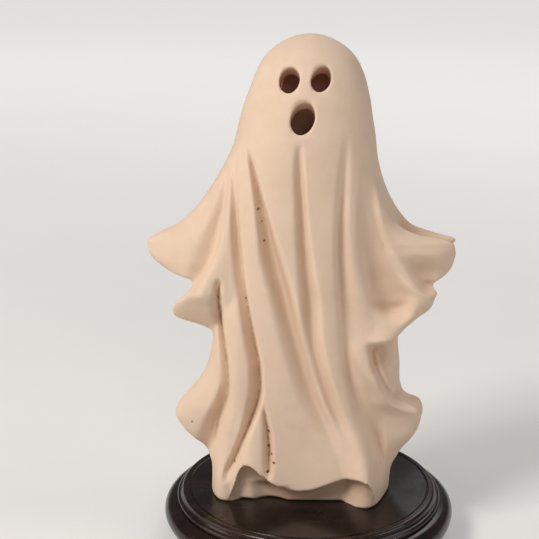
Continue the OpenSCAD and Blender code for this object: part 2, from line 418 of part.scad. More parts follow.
// The face holes: x, height, half width, half height, row of the dome, column
function face_holes(drop, toe_in) = [
    [face_shift + eye_pitch / 2 - toe_in, ghost_h - eye_drop + eye_rise / 2 - drop, eye_w / 2, eye_h / 2, eye_row,
        right_eye_column],
    [face_shift + mouth_shift, ghost_h - eye_drop - mouth_drop - drop, mouth_w / 2, mouth_h / 2, mouth_row,
        mouth_column],
    [face_shift - eye_pitch / 2 + toe_in, ghost_h - eye_drop - eye_rise / 2 - drop, eye_w / 2, eye_h / 2, eye_row,
        left_eye_column]];
function column_angles(holes, h, inner) =
    let (knots = concat(side_columns,
        [for (f = holes) let (s = section(f[1] / h)) [f[5], angle_at(s, f[0], inner ? s[8] : 0)]],
        far_columns))
    [for (j = [0 : columns - 1]) smooth(knots, j)];
// Near a hole the grid is pulled so that the square of steps round its middle lands on its ellipse
function reach_of(f, i, j, first) = max(abs(i - first - f[4]), abs(j - f[5])) / hole_steps;
function pull(f, i, j, first) = 1 - ease(1, 2, reach_of(f, i, j, first));
function ring_place(f, i, j, first) =
    let (u = (f[5] - j) / hole_steps, v = (i - first - f[4]) / hole_steps, n = norm([u, v]),
        k = n > 0 ? reach_of(f, i, j, first) / n : 0)
    [f[0] + f[2] * u * k, f[1] + f[3] * v * k];

// One sheet of points, row by row: the outside, or the lining inside the wall
function sheet(zs, angles, holes, first, h, inner) = [
    for (i = [0 : len(zs) - 1])
    let (s = section(zs[i]))
    for (j = [0 : columns - 1])
    let (w = [for (f = holes) pull(f, i, j, first)])
    max(w) > 0 ? pulled_point(s, zs[i], angles[j], holes, w, i, j, first, h, inner)
        : inner ? lining_point(s, angles[j])
        : cloth_point(s, angles[j])];
function pulled_point(s, z, angle, holes, w, i, j, first, h, inner) =
    let (
        start = [body_point(s, angle, inner ? s[8] : 0)[0], z * h],
        d = [for (f = holes) max(reach_of(f, i, j, first) - 1, 0) + least_share],
        own = [w[0] * far(d, 0, 1) * far(d, 0, 2), w[1] * far(d, 1, 0) * far(d, 1, 2),
            w[2] * far(d, 2, 0) * far(d, 2, 1)],
        q = start + sum3([for (k = [0 : 2]) own[k] * (ring_place(holes[k], i, j, first) - start)]),
        t = section(q[1] / h),
        a = angle_at(t, q[0], inner ? t[8] : 0)
    )
    inner ? lining_point(t, a) : cloth_point(t, a);
// How much nearer the first of two holes is than the second, from 0 to 1
function far(d, k, m) = d[m] / (d[m] + d[k]);
function sum3(v) = v[0] + v[1] + v[2];
function in_hole(holes, i, j, first) = max([for (f = holes)
    abs(i - first - f[4] + 0.5) < hole_steps && abs(j - f[5] + 0.5) < hole_steps ? 1 : 0]) == 1;
// The grid points round a hole, clockwise as seen from in front
function hole_loop(f, first) =
    let (r = first + f[4], c = f[5], n = hole_steps)
    concat(
        [for (k = [-n : n - 1]) [r - n, c + k]],
        [for (k = [-n : n - 1]) [r + k, c + n]],
        [for (k = [-n : n - 1]) [r + n, c - k]],
        [for (k = [-n : n - 1]) [r - k, c - n]]);
function total(bands, i = 0) = i >= len(bands) ? 0 : bands[i][2] + total(bands, i + 1);

module ghost_shell() {
    inner_h = ghost_h - head_wall;
    outer_holes = face_holes(0, 0);
    inner_holes = face_holes(hole_fall, hole_toe_in);
    first = total(row_shares);
    inner_first = total(inner_row_shares);
    zs = rows(row_shares, dome_knots(0, ghost_h));
    inner_zs = rows(inner_row_shares, dome_knots(hole_fall, inner_h));
    outside = sheet(zs, column_angles(outer_holes, ghost_h, false), outer_holes, first, ghost_h, false);
    lining = sheet(inner_zs, column_angles(inner_holes, inner_h, true), inner_holes, inner_first, inner_h, true);
    top = [half_span * smooth(lean_shares, 1), 0, ghost_h];
    inner_top = [top[0], 0, inner_h];
    n = len(outside);
    m = len(lining);
    last = len(zs) - 1;
    inner_last = len(inner_zs) - 1;
    outer_at = function (i, j) i * columns + (j + columns) % columns;
    inner_at = function (i, j) n + i * columns + (j + columns) % columns;
    around = [for (j = [0 : columns - 1]) j];
    skin = [
        for (i = [0 : last - 1]) for (j = around) if (!in_hole(outer_holes, i, j, first))
        each [
            [outer_at(i, j), outer_at(i, j + 1), outer_at(i + 1, j + 1)],
            [outer_at(i, j), outer_at(i + 1, j + 1), outer_at(i + 1, j)]]];
    back_skin = [
        for (i = [0 : inner_last - 1]) for (j = around) if (!in_hole(inner_holes, i, j, inner_first))
        each [
            [inner_at(i, j), inner_at(i + 1, j + 1), inner_at(i, j + 1)],
            [inner_at(i, j), inner_at(i + 1, j), inner_at(i + 1, j + 1)]]];
    caps = [for (j = around) each [
        [outer_at(last, j), outer_at(last, j + 1), n + m],
        [inner_at(inner_last, j + 1), inner_at(inner_last, j), n + m + 1]]];
    foot = [for (j = around) each [
        [outer_at(0, j + 1), outer_at(0, j), inner_at(0, j)],
        [outer_at(0, j + 1), inner_at(0, j), inner_at(0, j + 1)]]];
    tunnels = [
        for (k = [0 : 2])
        let (
            a = hole_loop(outer_holes[k], first),
            b = hole_loop(inner_holes[k], inner_first),
            c = len(a)
        )
        for (q = [0 : c - 1])
        let (
            p = outer_at(a[q][0], a[q][1]),
            r = outer_at(a[(q + 1) % c][0], a[(q + 1) % c][1]),
            t = inner_at(b[(q + 1) % c][0], b[(q + 1) % c][1]),
            v = inner_at(b[q][0], b[q][1])
        )
        each [[p, r, t], [p, t, v]]];
    color("antiquewhite")
    translate([ghost_shift_x, ghost_shift_y, plateau_z])
    polyhedron(
        points = concat(outside, lining, [top, inner_top]),
        faces = concat(skin, back_skin, caps, foot, tunnels),
        convexity = 8);
}

// The stand's turned section. Its rings follow the rim of the raised top.
rim_r = 1.4;
groove_w = 1;
groove_depth = 0.7;
groove_inset = 3;
rim_fall = 2.3;
bead_r = 1.3;
ring_r = 4.8;
ring_fall = 9.4;
neck_inset = 6.5;
neck_fall = 14.6;
foot_edge_r = 2.2;
foot_rim_h = 3.6;
recess_r = dish_dia / 2 + dish_gap;
// Points on an arc from one angle to another
function arc(x, z, r, from, to, steps) =
    [for (k = [0 : steps]) let (a = from + (to - from) * k / steps) [x + r * cos(a), z + r * sin(a)]];

module display_stand() {
    foot_r = foot_dia / 2;
    rim_x = plateau_dia / 2;
    groove_x = rim_x - groove_inset;
    ring_x = stand_dia / 2 - ring_r;
    color([0.09, 0.06, 0.06])
    rotate_extrude()
    polygon(concat(
        [[0, stand_z], [foot_r - foot_edge_r / 2, stand_z]],
        arc(foot_r - foot_edge_r, stand_z + foot_rim_h - foot_edge_r, foot_edge_r, -30, 90, 6),
        [[stand_dia / 2 - neck_inset, plateau_z - neck_fall - foot_edge_r / 2],
            [stand_dia / 2 - neck_inset, plateau_z - neck_fall]],
        arc(ring_x, plateau_z - ring_fall, ring_r, -55, 80, 12),
        arc(rim_x + bead_r / 2, plateau_z - rim_fall - bead_r, bead_r, -40, 90, 6),
        arc(rim_x - rim_r, plateau_z - rim_r, rim_r, 0, 90, 5),
        [[groove_x + groove_w / 2, plateau_z], [groove_x + groove_w / 4, plateau_z - groove_depth],
            [groove_x - groove_w / 4, plateau_z - groove_depth], [groove_x - groove_w / 2, plateau_z]],
        [[recess_r, plateau_z], [recess_r, plateau_z - recess_depth], [0, plateau_z - recess_depth]]));
}

module base_felt() {
    color([0.10, 0.13, 0.10])
    cylinder(d = felt_dia, h = felt_t);
}

dish_z = plateau_z - recess_depth;
dish_lip_r = dish_wall / 2;
dish_inner_r = dish_dia / 2 - dish_wall;

module cone_dish() {
    color([0.75, 0.58, 0.27])
    rotate_extrude()
    polygon(concat(
        [[0, dish_z], [dish_dia / 2, dish_z]],
        arc(dish_dia / 2 - dish_lip_r, dish_z + dish_h - dish_lip_r, dish_lip_r, 0, 180, 8),
        [[dish_inner_r, dish_z + dish_floor], [0, dish_z + dish_floor]]));
}

cone_z = dish_z + dish_floor;
cone_tip_r = 0.6;
cone_foot_h = 1;

module incense_cone() {
    color([0.36, 0.24, 0.17])
    rotate_extrude()
    polygon(concat(
        [[0, cone_z], [cone_dia / 2, cone_z], [cone_dia / 2, cone_z + cone_foot_h]],
        arc(0, cone_z + cone_h - cone_tip_r, cone_tip_r, 10, 90, 4)));
}

ghost_shell();
display_stand();
base_felt();
cone_dish();
incense_cone();
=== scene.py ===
"""A hollow ceramic ghost that covers an incense cone on a turned, lacquered stand.

Metres. The origin is the centre of the felt's underside, the ghost faces -Y and +Z is up.
The shapes are worked out with numpy from the sizes in the property groups and from tables of shares.
"""
import math

import bpy
import numpy as np
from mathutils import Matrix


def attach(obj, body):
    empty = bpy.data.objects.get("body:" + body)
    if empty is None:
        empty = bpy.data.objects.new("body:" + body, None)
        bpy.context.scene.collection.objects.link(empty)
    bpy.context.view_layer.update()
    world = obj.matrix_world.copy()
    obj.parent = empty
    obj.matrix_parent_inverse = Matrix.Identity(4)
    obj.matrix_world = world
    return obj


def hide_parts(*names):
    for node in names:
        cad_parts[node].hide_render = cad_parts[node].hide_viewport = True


bl_info = {
    "name": "Ghost incense burner",
    "version": (1, 0, 0),
    "blender": (4, 5, 0),
    "location": "View3D > Sidebar > Ghost",
    "description": "Builds a ceramic ghost on a turned stand over its incense cone",
    "category": "Object",
}

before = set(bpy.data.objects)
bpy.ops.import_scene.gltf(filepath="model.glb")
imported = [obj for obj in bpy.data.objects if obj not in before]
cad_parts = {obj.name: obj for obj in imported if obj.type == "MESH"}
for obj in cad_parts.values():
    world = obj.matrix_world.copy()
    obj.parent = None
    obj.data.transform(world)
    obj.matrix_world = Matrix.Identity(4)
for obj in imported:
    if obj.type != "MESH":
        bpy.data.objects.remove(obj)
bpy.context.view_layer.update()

# Heights are shares of the ghost's height, counted up from the stand, in the tables of the ghost.
# The dome of the head is an ellipse over the last part of the height
DOME_SHARE = 0.22
# Half widths of the body without its arms and tiers: height, share of half_span
LEFT_SHARES = [
    [0, 0.615], [0.05, 0.61], [0.15, 0.60], [0.45, 0.60], [0.50, 0.592], [0.55, 0.583], [0.60, 0.567],
    [0.65, 0.542], [0.70, 0.508], [0.74, 0.48], [0.77, 0.458], [0.80, 0.436], [0.84, 0.423],
    [0.88, 0.422], [0.92, 0.435], [0.97, 0.462], [1, 0.45]]
RIGHT_SHARES = [
    [0, 0.573], [0.04, 0.58], [0.08, 0.59], [0.15, 0.60], [0.25, 0.61], [0.33, 0.61], [0.40, 0.605],
    [0.45, 0.592], [0.50, 0.575], [0.55, 0.553], [0.60, 0.53], [0.64, 0.51], [0.68, 0.487],
    [0.72, 0.465], [0.77, 0.443], [0.80, 0.434], [0.84, 0.423], [0.88, 0.422], [0.92, 0.435],
    [0.97, 0.462], [1, 0.45]]
# Half depths of the body: height, share of half_depth in front, share behind
DEPTH_SHARES = [
    [0, 0.80, 1.00], [0.03, 0.81, 1.00], [0.10, 0.865, 1.01], [0.20, 0.94, 1.04], [0.35, 0.99, 1.06],
    [0.50, 1.00, 1.07], [0.60, 1.00, 1.05], [0.70, 0.975, 1.00], [0.80, 0.94, 0.95],
    [0.84, 0.925, 0.925], [0.88, 0.93, 0.93], [0.92, 0.96, 0.96], [1, 1.04, 1.04]]
# How far the head leans to the right: height, share of half_span
LEAN_SHARES = [[0, 0], [0.80, 0], [0.92, 0.02], [1, 0.023]]
# How square the cross-section is: height, exponent of its outline
SQUARE_SHARES = [[0, 3.0], [0.15, 2.7], [0.35, 2.4], [0.60, 2.25], [0.80, 2.1], [1, 2.0]]
# Thickness of the wall: height, share from foot_wall to skirt_wall, share from there to head_wall
WALL_SHARES = [[0, 0, 0], [0.10, 0.6, 0], [0.20, 1, 0], [0.62, 1, 0], [0.80, 1, 1], [1, 1, 1]]

# Arms and tiers of the cloth. Each row: height, angle in degrees from the right side towards
# the front, reach as a share of half_span, stand-forward as a share of fold_depth, half spread
# in degrees. A reach below zero points to the left.
LEFT_ARM_SHARES = [
    [0.452, 178, 0, 0, 20], [0.469, 178, -0.05, 0, 20], [0.483, 178, -0.125, 0, 21],
    [0.495, 178, -0.28, 0, 22], [0.511, 178, -0.355, 0, 23], [0.527, 178, -0.405, 0, 24],
    [0.543, 178, -0.425, 0, 24], [0.56, 178, -0.43, 0, 24], [0.577, 178, -0.373, 0, 24],
    [0.595, 178, -0.265, 0, 25], [0.61, 178, -0.213, 0, 26], [0.63, 178, -0.157, 0, 28],
    [0.665, 178, -0.097, 0, 32], [0.70, 178, -0.055, 0, 38], [0.75, 178, -0.01, 0, 45],
    [0.77, 178, 0, 0, 45]]
LEFT_TIER_SHARES = [
    [0.366, 170, 0, 0, 9], [0.374, 170, -0.045, 0, 9], [0.384, 169, -0.115, 0, 10],
    [0.391, 168, -0.18, 0.05, 11], [0.403, 166, -0.25, 0.1, 13], [0.421, 163, -0.270, 0.2, 17],
    [0.439, 161, -0.253, 0.4, 20], [0.456, 158, -0.205, 0.55, 23], [0.472, 156, -0.165, 0.7, 24],
    [0.50, 154, -0.108, 0.75, 23], [0.53, 153, -0.06, 0.7, 22], [0.57, 152, -0.02, 0.6, 20],
    [0.64, 152, -0.005, 0.4, 18], [0.72, 150, 0, 0, 16]]
LEFT_FLARE_SHARES = [
    [0.03, 174, 0, 0, 26], [0.057, 174, -0.004, 0, 26], [0.076, 174, -0.028, 0, 27],
    [0.095, 174, -0.067, 0, 28], [0.114, 174, -0.132, 0, 29], [0.133, 174, -0.192, 0, 29],
    [0.153, 174, -0.232, 0, 29], [0.17, 174, -0.252, 0, 29], [0.19, 174, -0.238, 0, 29],
    [0.21, 174, -0.195, 0, 28], [0.23, 174, -0.145, 0, 27], [0.25, 174, -0.093, 0, 26],
    [0.27, 174, -0.057, 0, 25], [0.305, 174, -0.02, 0, 24], [0.34, 174, 0, 0, 24]]
RIGHT_ARM_SHARES = [
    [0.42, 6, 0, 0, 17], [0.44, 6, 0.055, 0, 17], [0.457, 7, 0.11, 0, 18], [0.475, 7, 0.21, 0, 19],
    [0.493, 7, 0.325, 0, 21], [0.511, 7, 0.37, 0.05, 22], [0.53, 8, 0.392, 0.2, 23],
    [0.545, 9, 0.405, 0.35, 23], [0.556, 10, 0.405, 0.42, 22], [0.566, 11, 0.402, 0.42, 20],
    [0.573, 12, 0.380, 0.42, 19], [0.58, 13, 0.275, 0.38, 18], [0.588, 14, 0.175, 0.33, 18],
    [0.598, 15, 0.115, 0.28, 18], [0.612, 17, 0.07, 0.25, 18], [0.63, 19, 0.045, 0.2, 18],
    [0.66, 22, 0.02, 0.15, 16], [0.70, 24, 0, 0, 14]]
RIGHT_ARM_BACK_SHARES = [
    [0.42, -20, 0, 0, 19], [0.44, -20, 0.045, 0, 19], [0.457, -20, 0.10, 0, 19],
    [0.475, -20, 0.205, 0, 19], [0.493, -19, 0.32, 0, 19], [0.511, -18, 0.37, 0, 19],
    [0.53, -17, 0.40, 0, 16], [0.545, -16, 0.43, 0, 13], [0.555, -15, 0.442, 0, 12],
    [0.57, -15, 0.305, 0, 12], [0.588, -13, 0.17, 0, 16], [0.605, -10, 0.12, 0, 21],
    [0.634, -8, 0.068, 0, 26], [0.668, -6, 0.032, 0, 28], [0.70, -2, 0.012, 0, 32],
    [0.74, 0, 0, 0, 36]]
RIGHT_TIER_SHARES = [
    [0.362, 20, 0, 0, 24], [0.374, 21, 0.012, 0.1, 24], [0.393, 22, 0.07, 0.2, 25],
    [0.411, 23, 0.148, 0.3, 25], [0.43, 24, 0.228, 0.4, 25], [0.448, 25, 0.262, 0.55, 25],
    [0.463, 25, 0.257, 0.7, 24], [0.472, 26, 0.215, 0.8, 22], [0.486, 27, 0.15, 0.9, 20],
    [0.508, 28, 0.09, 0.85, 19], [0.54, 29, 0.045, 0.7, 19], [0.57, 30, 0.015, 0.52, 19],
    [0.605, 31, 0, 0.4, 18], [0.66, 33, 0, 0.2, 16], [0.74, 35, 0, 0, 14]]
RIGHT_FLARE_SHARES = [
    [0.02, 14, 0, 0, 22], [0.042, 14, 0.002, 0, 22], [0.062, 14, 0.012, 0.02, 22],
    [0.081, 14, 0.035, 0.06, 23], [0.10, 13, 0.062, 0.12, 24], [0.12, 13, 0.108, 0.18, 25],
    [0.139, 13, 0.143, 0.25, 25], [0.159, 12, 0.165, 0.32, 25], [0.178, 13, 0.172, 0.4, 24],
    [0.193, 15, 0.160, 0.47, 23], [0.204, 18, 0.13, 0.54, 23], [0.213, 22, 0.075, 0.6, 23],
    [0.225, 27, 0.025, 0.7, 23], [0.245, 32, 0.005, 0.8, 21], [0.278, 41, 0, 0.8, 17],
    [0.316, 50, 0, 0.55, 15], [0.352, 56, 0, 0.2, 14], [0.375, 58, 0, 0, 14]]
RIGHT_FLARE_BACK_SHARES = [
    [0.02, -10, 0, 0, 18], [0.042, -10, 0.002, 0, 18], [0.062, -10, 0.012, 0, 18],
    [0.081, -10, 0.035, 0, 18], [0.10, -10, 0.062, 0, 18], [0.12, -10, 0.108, 0, 18],
    [0.139, -10, 0.143, 0, 18], [0.159, -10, 0.165, 0, 18], [0.176, -9, 0.174, 0, 17],
    [0.188, -8, 0.172, 0, 16], [0.202, -6, 0.088, 0, 15], [0.215, -4, 0.052, 0, 15],
    [0.234, -2, 0.03, 0, 15], [0.253, 0, 0.018, 0, 15], [0.29, 0, 0.016, 0, 15],
    [0.32, 0, 0.005, 0, 15], [0.34, 0, 0, 0, 15]]
FIN_SHARES = [
    LEFT_ARM_SHARES, LEFT_TIER_SHARES, LEFT_FLARE_SHARES, RIGHT_ARM_SHARES, RIGHT_ARM_BACK_SHARES,
    RIGHT_TIER_SHARES, RIGHT_FLARE_SHARES, RIGHT_FLARE_BACK_SHARES]

# Folds. Each row: height, place as a share of half_span, depth as a share of fold_depth (below
# zero is a ridge), width to the left and to the right as shares of half_span.
LONG_FOLD_SHARES = [
    [0.12, 0.215, 0, 0.06, 0.05], [0.15, 0.178, 0.15, 0.07, 0.055], [0.18, 0.143, 0.35, 0.09, 0.06],
    [0.235, 0.072, 0.6, 0.105, 0.07], [0.29, 0.015, 0.75, 0.11, 0.08], [0.36, -0.045, 0.85, 0.11, 0.09],
    [0.425, -0.097, 0.92, 0.105, 0.09], [0.49, -0.143, 1.0, 0.105, 0.088], [0.54, -0.187, 1.0, 0.10, 0.085],
    [0.593, -0.225, 0.95, 0.08, 0.068], [0.645, -0.258, 0.85, 0.058, 0.048],
    [0.68, -0.282, 0.75, 0.045, 0.035], [0.716, -0.308, 0.6, 0.035, 0.03],
    [0.75, -0.332, 0.4, 0.025, 0.022], [0.78, -0.352, 0, 0.02, 0.02]]
MIDDLE_FOLD_SHARES = [
    [0.10, 0.355, 0, 0.05, 0.06], [0.14, 0.305, 0.12, 0.05, 0.06], [0.188, 0.238, 0.35, 0.055, 0.07],
    [0.244, 0.165, 0.6, 0.06, 0.075], [0.30, 0.105, 0.65, 0.066, 0.08], [0.355, 0.062, 0.7, 0.07, 0.08],
    [0.41, 0.035, 0.72, 0.07, 0.085], [0.465, 0.022, 0.75, 0.066, 0.088], [0.51, 0.008, 0.7, 0.062, 0.075],
    [0.595, -0.013, 0.65, 0.058, 0.055], [0.66, -0.026, 0.6, 0.05, 0.045], [0.72, -0.034, 0.5, 0.05, 0.04],
    [0.76, -0.038, 0.35, 0.045, 0.035], [0.797, -0.035, 0, 0.04, 0.03]]
RIGHT_FOLD_SHARES = [
    [0.15, 0.41, 0, 0.06, 0.07], [0.20, 0.365, 0.25, 0.06, 0.08], [0.25, 0.328, 0.38, 0.06, 0.08],
    [0.306, 0.288, 0.42, 0.055, 0.08], [0.34, 0.27, 0.43, 0.055, 0.09], [0.378, 0.258, 0.46, 0.055, 0.13],
    [0.41, 0.25, 0.52, 0.055, 0.165], [0.442, 0.243, 0.6, 0.055, 0.15], [0.476, 0.235, 0.6, 0.055, 0.12],
    [0.506, 0.23, 0.62, 0.055, 0.10], [0.57, 0.22, 0.6, 0.055, 0.075], [0.635, 0.221, 0.5, 0.055, 0.055],
    [0.70, 0.23, 0.35, 0.055, 0.05], [0.75, 0.238, 0.2, 0.05, 0.045], [0.78, 0.242, 0.1, 0.045, 0.045],
    [0.81, 0.245, 0, 0.04, 0.04]]
POCKET_FOLD_SHARES = [
    [0.408, 0.575, 0, 0.06, 0.07], [0.418, 0.57, 0.35, 0.08, 0.10], [0.428, 0.56, 0.6, 0.105, 0.13],
    [0.438, 0.553, 0.75, 0.13, 0.145], [0.448, 0.548, 0.82, 0.15, 0.16], [0.47, 0.53, 0.85, 0.155, 0.185],
    [0.50, 0.495, 0.8, 0.145, 0.17], [0.54, 0.452, 0.62, 0.13, 0.14], [0.585, 0.417, 0.48, 0.11, 0.10],
    [0.63, 0.397, 0.36, 0.09, 0.08], [0.67, 0.388, 0.26, 0.08, 0.065], [0.70, 0.382, 0.17, 0.07, 0.06],
    [0.76, 0.378, 0, 0.06, 0.05]]
RIGHT_FOOT_FOLD_SHARES = [
    [0.03, 0.51, 0, 0.06, 0.035], [0.06, 0.507, 0.2, 0.065, 0.035], [0.095, 0.50, 0.35, 0.075, 0.045],
    [0.13, 0.49, 0.48, 0.09, 0.055], [0.16, 0.465, 0.5, 0.10, 0.07], [0.185, 0.44, 0.45, 0.095, 0.09],
    [0.21, 0.405, 0.32, 0.08, 0.10], [0.235, 0.375, 0.16, 0.065, 0.09], [0.27, 0.345, 0, 0.06, 0.07]]
RIGHT_ARM_FOLD_SHARES = [
    [0.466, 0.81, 0, 0.05, 0.05], [0.476, 0.785, 0.85, 0.055, 0.06], [0.495, 0.74, 0.75, 0.065, 0.16],
    [0.52, 0.69, 0.6, 0.065, 0.22], [0.54, 0.645, 0.4, 0.06, 0.20], [0.558, 0.61, 0.2, 0.05, 0.12],
    [0.58, 0.565, 0, 0.04, 0.06]]
RIGHT_FLARE_FOLD_SHARES = [
    [0.197, 0.73, 0, 0.04, 0.04], [0.21, 0.665, 0.35, 0.04, 0.04], [0.226, 0.605, 0.55, 0.04, 0.04],
    [0.255, 0.535, 0.65, 0.038, 0.04], [0.288, 0.485, 0.65, 0.035, 0.04], [0.316, 0.452, 0.6, 0.035, 0.04],
    [0.342, 0.432, 0.45, 0.035, 0.04], [0.37, 0.42, 0, 0.035, 0.04]]
LEFT_ARM_FOLD_SHARES = [
    [0.46, -0.685, 0, 0.11, 0.04], [0.485, -0.67, 0.55, 0.13, 0.04], [0.53, -0.61, 0.65, 0.13, 0.04],
    [0.577, -0.568, 0.65, 0.12, 0.04], [0.62, -0.535, 0.65, 0.09, 0.04], [0.66, -0.51, 0.55, 0.07, 0.04],
    [0.70, -0.495, 0.35, 0.045, 0.035], [0.735, -0.49, 0, 0.04, 0.035]]
LEFT_TIER_FOLD_SHARES = [
    [0.06, -0.66, 0, 0.10, 0.03], [0.09, -0.625, 0.5, 0.13, 0.035], [0.124, -0.588, 0.8, 0.14, 0.035],
    [0.15, -0.57, 0.9, 0.13, 0.035], [0.18, -0.548, 0.95, 0.11, 0.03], [0.22, -0.507, 0.95, 0.09, 0.03],
    [0.26, -0.49, 0.9, 0.07, 0.025], [0.31, -0.498, 0.85, 0.06, 0.025], [0.36, -0.518, 0.8, 0.05, 0.025],
    [0.41, -0.537, 0.75, 0.045, 0.025], [0.455, -0.546, 0.75, 0.04, 0.025],
    [0.488, -0.542, 0.5, 0.035, 0.025], [0.503, -0.54, 0, 0.03, 0.025]]
LEFT_FOLD_SHARES = [
    [0.04, -0.51, 0, 0.04, 0.04], [0.067, -0.487, 0.4, 0.045, 0.035], [0.10, -0.438, 0.6, 0.05, 0.035],
    [0.15, -0.382, 0.7, 0.055, 0.035], [0.182, -0.345, 0.85, 0.065, 0.035],
    [0.221, -0.305, 0.95, 0.08, 0.035], [0.259, -0.283, 1.0, 0.085, 0.03],
    [0.309, -0.288, 0.95, 0.08, 0.03], [0.365, -0.317, 0.85, 0.075, 0.03],
    [0.415, -0.345, 0.75, 0.07, 0.03], [0.478, -0.376, 0.65, 0.065, 0.03],
    [0.54, -0.402, 0.6, 0.06, 0.03], [0.605, -0.42, 0.55, 0.055, 0.03],
    [0.66, -0.432, 0.45, 0.045, 0.03], [0.71, -0.442, 0.25, 0.035, 0.03], [0.77, -0.434, 0, 0.03, 0.03]]
SHORT_CREASE_SHARES = [
    [0.06, -0.225, 0, 0.03, 0.03], [0.08, -0.222, 0.5, 0.05, 0.035], [0.12, -0.222, 0.65, 0.055, 0.04],
    [0.157, -0.23, 0.6, 0.05, 0.04], [0.195, -0.243, 0.35, 0.035, 0.03], [0.24, -0.265, 0, 0.02, 0.02]]
LEFT_FOOT_SHARES = [
    [0, -0.555, -1.1, 0.11, 0.16], [0.04, -0.55, -1.0, 0.11, 0.15], [0.09, -0.535, -0.6, 0.10, 0.13],
    [0.15, -0.50, -0.35, 0.10, 0.11], [0.22, -0.455, -0.3, 0.10, 0.11], [0.35, -0.45, -0.2, 0.10, 0.09],
    [0.48, -0.46, 0, 0.08, 0.08]]
RIGHT_FOOT_SHARES = [
    [0, 0.43, -1.55, 0.19, 0.15], [0.04, 0.435, -1.5, 0.18, 0.14], [0.09, 0.41, -1.2, 0.18, 0.13],
    [0.144, 0.345, -0.7, 0.17, 0.12], [0.20, 0.28, -0.4, 0.14, 0.11], [0.30, 0.18, -0.2, 0.12, 0.10],
    [0.45, 0.12, -0.1, 0.10, 0.09], [0.62, 0.07, 0, 0.10, 0.09]]
HEM_HOLLOW_SHARES = [
    [0, -0.22, 0.5, 0.12, 0.13], [0.03, -0.22, 0.45, 0.14, 0.16], [0.05, -0.20, 0, 0.16, 0.2]]
# Folds behind, as seen from the front
BACK_LONG_FOLD_SHARES = [
    [0.10, -0.10, 0, 0.09, 0.06], [0.16, -0.08, 0.3, 0.09, 0.06], [0.25, -0.03, 0.6, 0.10, 0.06],
    [0.36, 0.05, 0.6, 0.10, 0.09], [0.48, 0.12, 0.6, 0.10, 0.09], [0.60, 0.19, 0.5, 0.08, 0.08],
    [0.70, 0.24, 0.3, 0.06, 0.06], [0.78, 0.26, 0, 0.05, 0.05]]
BACK_MIDDLE_FOLD_SHARES = [
    [0.08, -0.32, 0, 0.07, 0.06], [0.15, -0.27, 0.25, 0.07, 0.06], [0.27, -0.19, 0.45, 0.07, 0.06],
    [0.40, -0.11, 0.5, 0.07, 0.06], [0.55, -0.06, 0.5, 0.06, 0.06], [0.68, -0.03, 0.4, 0.05, 0.05],
    [0.77, -0.02, 0, 0.04, 0.04]]
BACK_LEFT_FOLD_SHARES = [
    [0.09, -0.52, 0, 0.07, 0.06], [0.17, -0.47, 0.5, 0.08, 0.06], [0.28, -0.40, 0.6, 0.08, 0.06],
    [0.40, -0.35, 0.6, 0.08, 0.06], [0.52, -0.32, 0.6, 0.08, 0.06], [0.63, -0.29, 0.4, 0.06, 0.05],
    [0.75, -0.27, 0, 0.04, 0.04]]
BACK_RIGHT_FOLD_SHARES = [
    [0.05, 0.42, 0, 0.06, 0.07], [0.12, 0.38, 0.5, 0.06, 0.08], [0.22, 0.33, 0.75, 0.06, 0.09],
    [0.33, 0.34, 0.8, 0.06, 0.09], [0.44, 0.38, 0.7, 0.06, 0.09], [0.56, 0.41, 0.5, 0.05, 0.07],
    [0.66, 0.43, 0.3, 0.04, 0.05], [0.74, 0.42, 0, 0.04, 0.04]]
BACK_POCKET_FOLD_SHARES = [
    [0.40, -0.60, 0, 0.13, 0.16], [0.43, -0.57, 0.6, 0.13, 0.16], [0.47, -0.53, 0.8, 0.13, 0.14],
    [0.53, -0.48, 0.75, 0.11, 0.12], [0.60, -0.44, 0.5, 0.09, 0.09], [0.70, -0.40, 0, 0.06, 0.06]]
BACK_LEFT_FOOT_SHARES = [
    [0, -0.42, -0.7, 0.16, 0.18], [0.05, -0.42, -0.6, 0.16, 0.18], [0.12, -0.38, -0.3, 0.14, 0.16],
    [0.22, -0.32, 0, 0.12, 0.12]]
BACK_RIGHT_FOOT_SHARES = [
    [0, 0.36, -0.6, 0.16, 0.16], [0.05, 0.36, -0.5, 0.16, 0.16], [0.12, 0.30, -0.3, 0.14, 0.14],
    [0.22, 0.24, 0, 0.12, 0.12]]
# Each fold with its side (1 in front, -1 behind) and the shape of its bottom: 1 is a crease, 2 is round and
# 3 is flatter
FOLD_SHARES = [
    [1, 1.8, LONG_FOLD_SHARES], [1, 1.6, MIDDLE_FOLD_SHARES], [1, 1.6, RIGHT_FOLD_SHARES],
    [1, 3.0, POCKET_FOLD_SHARES], [1, 2.0, RIGHT_ARM_FOLD_SHARES], [1, 1.6, RIGHT_FLARE_FOLD_SHARES],
    [1, 1.8, RIGHT_FOOT_FOLD_SHARES], [1, 1.4, LEFT_ARM_FOLD_SHARES],
    [1, 1.5, LEFT_TIER_FOLD_SHARES], [1, 1.6, LEFT_FOLD_SHARES], [1, 1.3, SHORT_CREASE_SHARES],
    [1, 2, LEFT_FOOT_SHARES], [1, 2, RIGHT_FOOT_SHARES], [1, 2.6, HEM_HOLLOW_SHARES],
    [-1, 2.2, BACK_LONG_FOLD_SHARES], [-1, 1.6, BACK_MIDDLE_FOLD_SHARES], [-1, 1.4, BACK_LEFT_FOLD_SHARES],
    [-1, 1.4, BACK_RIGHT_FOLD_SHARES], [-1, 1.8, BACK_POCKET_FOLD_SHARES],
    [-1, 2, BACK_LEFT_FOOT_SHARES], [-1, 2, BACK_RIGHT_FOOT_SHARES]]

